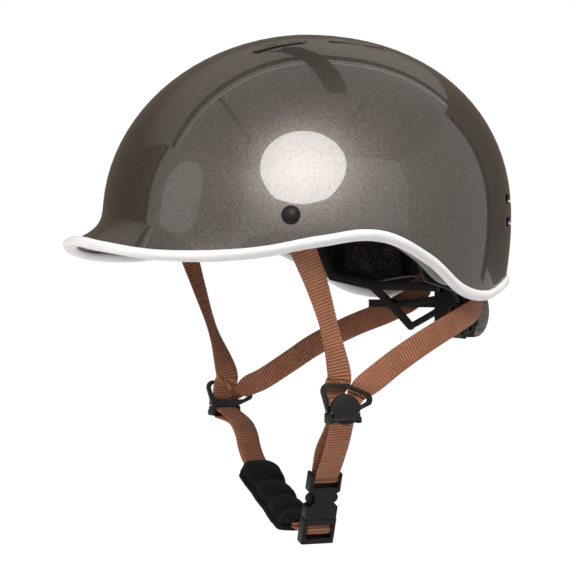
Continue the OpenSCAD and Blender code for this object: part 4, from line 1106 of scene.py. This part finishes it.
def sew_channels(obj):
    """Seams pull the sleeve's inner side and its rear edge in between four swellings"""
    samples = 80
    places = [mix(SLEEVE_FROM, SLEEVE_TO, i / samples) for i in range(samples + 1)]
    centres = [(t, *chin_frame(t)) for t in places]
    seams = [k / SLEEVE_SWELLINGS for k in range(1, SLEEVE_SWELLINGS)]
    for v in obj.data.vertices:
        p = v.co / MM
        t, c, d, up = min(centres, key=lambda e: (e[1] - p).length_squared)
        u = (t - SLEEVE_FROM) / (SLEEVE_TO - SLEEVE_FROM) + (p - c).dot(d) / SLEEVE_LENGTH
        height, across = (p - c).dot(up), p.y - c.y
        seam = min(abs(u - k) for k in seams) * SLEEVE_LENGTH
        near = math.exp(-((seam / 2.6) ** 2))
        edge = near * clamp01((abs(across) - 7) / 6)
        if height > 0:
            v.co -= up * (near * 2.6 * clamp01(height / 5)) * MM
            v.co.y -= math.copysign(edge * 1.7, across) * MM
        else:
            v.co.y -= math.copysign(edge * 0.5, across) * MM
            if across < -8:
                flap = clamp01((-across - 8) / 4) * MM
                v.co.y -= 2.2 * flap
                v.co -= up * 0.8 * flap


def sleeve_tunnel():
    """The webbing's way through the sleeve, open along the front edge and past both ends"""
    high, steps, last = 1.95, 40, 6.99
    outline = ((8.4, -high), (8.4, high), (-8.4, high), (-10.5, 0.45), (-18, 0.2), (-18, -0.9),
               (-10.5, -1.2), (-8.4, -high))
    rings = []
    for i in range(-3, steps + 4):
        t = mix(SLEEVE_FROM, SLEEVE_TO, i / steps)
        c, d, up = chin_frame(min(t, last))
        c = c + d * max(0, t - last) * 16
        rings.append([c + Vector((0, y, 0)) + up * z for y, z in outline])
    return ring_piece("tunnel", rings)


def make_chin_pad():
    """A folded sleeve: a thick quilted part on the inner side, and a thin one outside"""
    steps, around, half, high, low = 40, 20, 13.0, 6.6, 4.2
    rings = []
    for i in range(steps + 1):
        c, _, up = chin_frame(mix(SLEEVE_FROM, SLEEVE_TO, i / steps))
        end = min(1.0, 0.72 + 0.28 * min(i, steps - i) / 3)
        hi, lo, w = high * end, low * end, half * end
        ring = []
        for k in range(around):
            q = k * 360 / around
            x, y = spow(cosd(q), 0.62), spow(sind(q), 0.62)
            ring.append(c + Vector((0, w * x, 0)) + up * (hi * y if y > 0 else lo * y))
        rings.append(ring)
    obj = ring_piece("chin_cushion", rings)
    blow_up(obj, settings().pad_pressure, 2.2 * MM, 2.6 * MM)
    sew_channels(obj)
    modify(obj, "SUBSURF", levels=1, render_levels=1)
    cut(obj, [sleeve_tunnel()])
    smooth(obj, 50)
    finish_piece(obj, "chin", "pad_fabric", "chin_pad")
    return obj


# Stage, in metres
CAMERA_AT, CAMERA_TURN, CAMERA_TILT = (1.1655, -0.5090, -0.0308), 23, 0.617
WORLD_LIGHT, FLOOR_GLOW, FLOOR_Z = 0.31, 1.32, -0.5


def show_to_camera(tree, plain, bright, share, output):
    """Camera, glossy and transmission rays see the bright surface, other rays the plain one"""
    path = node(tree, "ShaderNodeLightPath")
    seen = path.outputs["Is Camera Ray"]
    for kind in ("Is Glossy Ray", "Is Transmission Ray"):
        either = node(tree, "ShaderNodeMath", operation="MAXIMUM")
        tree.links.new(seen, either.inputs[0])
        tree.links.new(path.outputs[kind], either.inputs[1])
        seen = either.outputs[0]
    part = node(tree, "ShaderNodeMath", {1: share}, operation="MULTIPLY")
    tree.links.new(seen, part.inputs[0])
    choose = node(tree, "ShaderNodeMixShader")
    tree.links.new(part.outputs[0], choose.inputs["Fac"])
    tree.links.new(plain.outputs[0], choose.inputs[1])
    tree.links.new(bright.outputs[0], choose.inputs[2])
    tree.links.new(choose.outputs[0], tree.nodes[output].inputs["Surface"])


def make_camera(scene):
    """Three-quarter view from the front left, level with the part"""
    data = bpy.data.cameras.new("Camera")
    data.lens, data.sensor_width = 127.2, 36
    data.clip_start, data.clip_end = 0.05, 30
    camera = bpy.data.objects.new("Camera", data)
    bpy.context.collection.objects.link(camera)
    camera.location = CAMERA_AT
    ahead = Vector((-cosd(CAMERA_TURN), sind(CAMERA_TURN), -math.tan(math.radians(CAMERA_TILT))))
    camera.rotation_euler = ahead.normalized().to_track_quat("-Z", "Y").to_euler()
    scene.camera = camera


def make_world(scene):
    """Plain light on the part, white for what the camera sees"""
    world = bpy.data.worlds.new("Studio")
    scene.world = world
    world.use_nodes = True
    tree = world.node_tree
    plain = tree.nodes["Background"]
    set_inputs(plain, {"Color": (0.93, 0.96, 1.0, 1), "Strength": WORLD_LIGHT})
    white = node(tree, "ShaderNodeBackground", {"Color": (1, 1, 1, 1), "Strength": 1.0})
    show_to_camera(tree, plain, white, 1.0, "World Output")


def make_floor():
    """A pale floor that keeps the part's shadow"""
    clear_selection()
    bpy.ops.mesh.primitive_plane_add(size=30, location=(0, 0, FLOOR_Z))
    floor = bpy.context.object
    floor.name = "floor"
    material, tree, shader = new_material("floor")
    set_inputs(shader, {"Base Color": (0.9, 0.9, 0.9, 1), "Roughness": 0.9})
    glow = node(tree, "ShaderNodeEmission", {"Strength": FLOOR_GLOW})
    show_to_camera(tree, shader, glow, 0.7, "Material Output")
    floor.data.materials.append(material)


def reflection_card(name, place, facing, width, tall, colour, turn=0, left=None):
    """A card of the studio that shows in gloss and nowhere else; left fades it to another colour"""
    clear_selection()
    bpy.ops.mesh.primitive_plane_add(size=1, location=place)
    card = bpy.context.object
    card.name = name
    card.scale = (width, tall, 1)
    card.rotation_mode = "QUATERNION"
    aim = Vector(facing).to_track_quat("Z", "Y")
    card.rotation_quaternion = aim @ turned("Z", turn).to_quaternion()
    material, tree, _ = new_material(name)
    glow = node(tree, "ShaderNodeEmission", {"Color": (*colour, 1)})
    if left:
        split = node(tree, "ShaderNodeSeparateXYZ")
        tree.links.new(object_place(tree), split.inputs["Vector"])
        along = span(tree, split.outputs["X"], 0.0, 1.0, (-0.5, 0.5))
        tree.links.new(ramp(tree, along, [(0.0, left), (1.0, colour)]), glow.inputs["Color"])
    tree.links.new(glow.outputs[0], tree.nodes["Material Output"].inputs["Surface"])
    card.data.materials.append(material)
    card.visible_camera = card.visible_diffuse = False
    card.visible_transmission = card.visible_shadow = False


def area_lamp(name, place, aim, width, tall, power, mirrored):
    """A round lamp that either shows in gloss or lights matt surfaces"""
    light = bpy.data.lights.new(name, "AREA")
    light.shape = "ELLIPSE"
    light.size, light.size_y = width, tall
    light.energy = power
    lamp = bpy.data.objects.new(name, light)
    bpy.context.collection.objects.link(lamp)
    lamp.visible_glossy = mirrored
    lamp.visible_diffuse = not mirrored
    lamp.location = place
    lamp.rotation_euler = (Vector(aim) - Vector(place)).to_track_quat("-Z", "Y").to_euler()


def hang_cards():
    """What the paint reflects: the dim back half of the studio, the arch at its edge, the grey
    front half, and a boom arm with its stays"""
    dim, dark, light = (0.15, 0.12, 0.093), (0.015, 0.012, 0.01), (2.4, 2.3, 2.2)
    sky, near, far = (0.62, 0.57, 0.52), (0.4, 0.375, 0.35), (0.7, 0.67, 0.64)
    boom, stay = (0.003, 0.002, 0.002), (0.25, 0.23, 0.21)
    level, sideways = (0, 0, 1), (0, 1, 0)
    reflection_card("dim_back", (-2.8, 0, 0.25), (1, 0, 0), 4.6, 2.9, dim)
    reflection_card("dim_ceiling", (-1.62, 0, 1.7), level, 2.36, 4.6, dim, 0, sky)
    reflection_card("grey_ceiling", (1.3, 0, 1.7), level, 3.4, 4.6, far, 0, near)
    reflection_card("grey_floor", (1.2, 0, -0.49), level, 3.6, 4.6, far)
    reflection_card("arch_line", (-0.33, 0, 1.15), level, 0.13, 3.2, dark)
    reflection_card("arch_edge", (-0.18, 0, 1.15), level, 0.014, 3.0, light)
    for word, y, edge in (("front", -2.2, -0.64), ("rear", 2.2, 0.1)):
        reflection_card(f"dim_side_{word}", ((edge - 2.8) / 2, y, 0.3), sideways,
                        edge + 2.8, 2.8, dim)
        reflection_card(f"grey_side_{word}", ((edge + 3) / 2, y, 0.3), sideways,
                        3 - edge, 2.8, far)
        reflection_card(f"arch_line_{word}", (0.73 * edge - 0.06, 0.73 * y, 0.3), sideways,
                        0.13, 1.7, dark)
    reflection_card("boom", (-0.3, 0.26, 1.1), level, 1.4, 0.16, boom, 3)
    reflection_card("stay_front", (0.55, -0.72, 1.19), level, 1.5, 0.05, stay, -12)
    reflection_card("stay_rear", (1.0, 0.47, 1.19), level, 0.9, 0.05, stay, -10)


def hang_lamps():
    """Two lamps that the paint mirrors, above the rivet and at the brow, and two for the rest"""
    for name, angle, height, width, tall, power, reach in (
            ("key", 70, 27, 1.12, 1.2, 27, 1.5), ("brow_light", 35, 11, 0.8, 1.0, 1.2, 1.4)):
        spot, n = skin(angle, height) * MM, skin_normal(angle, height)
        view = (Vector(CAMERA_AT) - spot).normalized()
        mirrored_view = 2 * n.dot(view) * n - view
        area_lamp(name, spot + mirrored_view * reach, spot, width, tall, power, True)
    middle = (0, 0, -0.05)
    area_lamp("fill", (0.2, -1.4, 0.6), middle, 0.9, 0.9, 16, False)
    area_lamp("top", (0.72, 0.55, 1.15), middle, 0.9, 0.9, 22.5, False)


# Sizes and colours
class HelmetSizes(bpy.types.PropertyGroup):
    shell_colour: bpy.props.FloatVectorProperty(
        name="Shell colour", description="Colour of the metallic paint",
        subtype="COLOR", size=3, min=0, max=1, default=(0.071, 0.0605, 0.0515))
    trim_colour: bpy.props.FloatVectorProperty(
        name="Trim colour", description="Colour of the edge trim",
        subtype="COLOR", size=3, min=0, max=1, default=(0.78, 0.755, 0.73))
    webbing_colour: bpy.props.FloatVectorProperty(
        name="Webbing colour", description="Colour of the webbing",
        subtype="COLOR", size=3, min=0, max=1, default=(0.35, 0.133, 0.065))
    plastic_colour: bpy.props.FloatVectorProperty(
        name="Plastic colour", description="Colour of the black moulded parts",
        subtype="COLOR", size=3, min=0, max=1, default=(0.011, 0.0094, 0.0078))
    rib_pitch: bpy.props.FloatProperty(
        name="Rib pitch", description="Distance between two ribs of the webbing",
        unit="LENGTH", min=0.0008, max=0.003, default=0.0019)
    rib_depth: bpy.props.FloatProperty(
        name="Rib depth", description="Height of the webbing's ribs",
        unit="LENGTH", min=0.0, max=0.0004, default=0.00018)
    pad_pressure: bpy.props.FloatProperty(
        name="Pad pressure", description="How strongly the chin pad is filled",
        min=0.5, max=10, default=4.0)


class HELMET_OT_stage(bpy.types.Operator):
    """Camera, lamps, floor and background"""
    bl_idname = "helmet.stage"
    bl_label = "Stage"

    def execute(self, context):
        scene = context.scene
        scene.view_settings.view_transform = "Standard"
        make_camera(scene)
        make_world(scene)
        make_floor()
        hang_cards()
        hang_lamps()
        return {"FINISHED"}


class HELMET_OT_shell(bpy.types.Operator):
    """Painted shell with its vents, and the trim bead on its edge"""
    bl_idname = "helmet.shell"
    bl_label = "Shell and trim"

    def execute(self, context):
        make_shell()
        make_trim()
        return {"FINISHED"}


class HELMET_OT_liner(bpy.types.Operator):
    """Bead foam with its channels, and the band under its edge"""
    bl_idname = "helmet.liner"
    bl_label = "Foam liner"

    def execute(self, context):
        make_foam()
        make_wrap()
        return {"FINISHED"}


class HELMET_OT_pads(bpy.types.Operator):
    """Comfort pads inside the foam"""
    bl_idname = "helmet.pads"
    bl_label = "Comfort pads"

    def execute(self, context):
        made = [(pad_patch(name, a0, a1, z0, z1, channels), cad)
                for name, cad, a0, a1, z0, z1, channels in (
                    ("brow_cushion", "brow_pad", -48, 48, -6, 20, 5),
                    ("side_cushion_left", "side_pad_left", 60, 96, 6, 30, 2),
                    ("side_cushion_right", "side_pad_right", -60, -96, 6, 30, 2),
                    ("rear_cushion", "rear_pad", 150, 210, 4, 28, 3))]
        made.append((make_crown_pad(), "crown_pad"))
        for pad, cad in made:
            finish_piece(pad, "helmet", "pad_fabric", cad)
        keep_node("hook_discs", "hook_tape")
        return {"FINISHED"}


class HELMET_OT_webbing(bpy.types.Operator):
    """Ribbed webbing of both sides and of the chin"""
    bl_idname = "helmet.webbing"
    bl_label = "Webbing"

    def execute(self, context):
        for side, word in ((1, "left"), (-1, "right")):
            for part, stops in (("front", front_stops(side)), ("rear", rear_stops(side))):
                strap = webbing(f"{part}_webbing_{word}", stops, mirrored=side < 0)
                finish_piece(strap, "helmet", "webbing", f"{part}_strap_{word}")
            keep_node(f"strap_anchor_{word}", "black_plastic")
        strap = webbing("lower_webbing_left", lower_left_stops())
        finish_piece(strap, "helmet", "webbing", "lower_strap_left")
        strap = webbing("chin_webbing", chin_stops())
        finish_piece(strap, "chin", "webbing", "chin_strap")
        return {"FINISHED"}


class HELMET_OT_chin_pad(bpy.types.Operator):
    """Quilted pad on the chin webbing"""
    bl_idname = "helmet.chin_pad"
    bl_label = "Chin pad"

    def execute(self, context):
        make_chin_pad()
        return {"FINISHED"}


class HELMET_OT_dividers(bpy.types.Operator):
    """Strap dividers with their round cams"""
    bl_idname = "helmet.dividers"
    bl_label = "Dividers"

    def execute(self, context):
        for word, body in (("left", "cam_l"), ("right", "cam_r")):
            piece = rounded_node(f"divider_{word}", f"divider_frame_{word}", 0.7, 3)
            finish_piece(piece, "helmet", "black_plastic", f"divider_{word}")
            piece = rounded_node(f"divider_cam_{word}", f"divider_disc_{word}", 0.6, 3)
            finish_piece(piece, body, "black_plastic", f"divider_cam_{word}")
        return {"FINISHED"}


class HELMET_OT_buckle(bpy.types.Operator):
    """Side-release buckle: housing, tongue and spring prongs"""
    bl_idname = "helmet.buckle"
    bl_label = "Buckle"

    def execute(self, context):
        for cad, name, body, width in (
                ("buckle_housing", "buckle_body", "helmet", 0.5),
                ("buckle_tongue", "buckle_plug", "chin", 0.5),
                ("prong_front", "spring_prong_front", "prong_f", 0.45),
                ("prong_rear", "spring_prong_rear", "prong_r", 0.45)):
            piece = rounded_node(cad, name, width, 3)
            finish_piece(piece, body, "black_plastic", cad)
        return {"FINISHED"}


class HELMET_OT_cradle(bpy.types.Operator):
    """Fit cradle at the nape with its dial"""
    bl_idname = "helmet.cradle"
    bl_label = "Fit cradle"

    def execute(self, context):
        for cad, name, body, slot, width in (
                ("cradle_frame", "cradle_lattice", "cradle", "black_plastic", 0.5),
                ("dial_housing", "dial_case", "cradle", "black_plastic", 0.8),
                ("dial_knob", "fit_knob", "dial", "knob_plastic", 0.4)):
            piece = rounded_node(cad, name, width, 2)
            finish_piece(piece, body, slot, cad)
        for cad, slot in (
                ("temple_pin_left", "black_plastic"), ("temple_pin_right", "black_plastic"),
                ("belt_left", "black_plastic"), ("belt_right", "black_plastic"),
                ("dial_pinion", "gear_plastic"), ("dial_screw", "steel"),
                ("detent_ring", "steel"), ("housing_screws", "steel")):
            keep_node(cad, slot)
        return {"FINISHED"}


class HELMET_OT_rivets(bpy.types.Operator):
    """Rivets and washers of the front straps"""
    bl_idname = "helmet.rivets"
    bl_label = "Rivets"

    def execute(self, context):
        for word in ("left", "right"):
            piece = rounded_node(f"rivet_{word}", f"rivet_cap_{word}", 0.5, 3)
            finish_piece(piece, "helmet", "black_plastic", f"rivet_{word}")
            keep_node(f"rivet_washer_{word}", "steel")
        return {"FINISHED"}


STEPS = (HELMET_OT_stage, HELMET_OT_shell, HELMET_OT_liner, HELMET_OT_pads, HELMET_OT_webbing,
         HELMET_OT_chin_pad, HELMET_OT_dividers, HELMET_OT_buckle, HELMET_OT_cradle,
         HELMET_OT_rivets)


class HELMET_PT_panel(bpy.types.Panel):
    """Sizes, colours and steps of the helmet"""
    bl_label = "Helmet"
    bl_idname = "HELMET_PT_panel"
    bl_space_type = "VIEW_3D"
    bl_region_type = "UI"
    bl_category = "Helmet"

    def draw(self, context):
        sizes = context.scene.helmet_sizes
        for name in HelmetSizes.__annotations__:
            self.layout.prop(sizes, name)
        for step in STEPS:
            self.layout.operator(step.bl_idname)


def register():
    for kind in (HelmetSizes, *STEPS, HELMET_PT_panel):
        bpy.utils.register_class(kind)
    bpy.types.Scene.helmet_sizes = bpy.props.PointerProperty(type=HelmetSizes)


def unregister():
    del bpy.types.Scene.helmet_sizes
    for kind in reversed((HelmetSizes, *STEPS, HELMET_PT_panel)):
        bpy.utils.unregister_class(kind)


def main():
    register()
    bpy.ops.helmet.stage()
    bpy.ops.helmet.shell()
    bpy.ops.helmet.liner()
    bpy.ops.helmet.pads()
    bpy.ops.helmet.webbing()
    bpy.ops.helmet.chin_pad()
    bpy.ops.helmet.dividers()
    bpy.ops.helmet.buckle()
    bpy.ops.helmet.cradle()
    bpy.ops.helmet.rivets()


if __name__ == "__main__":
    main()
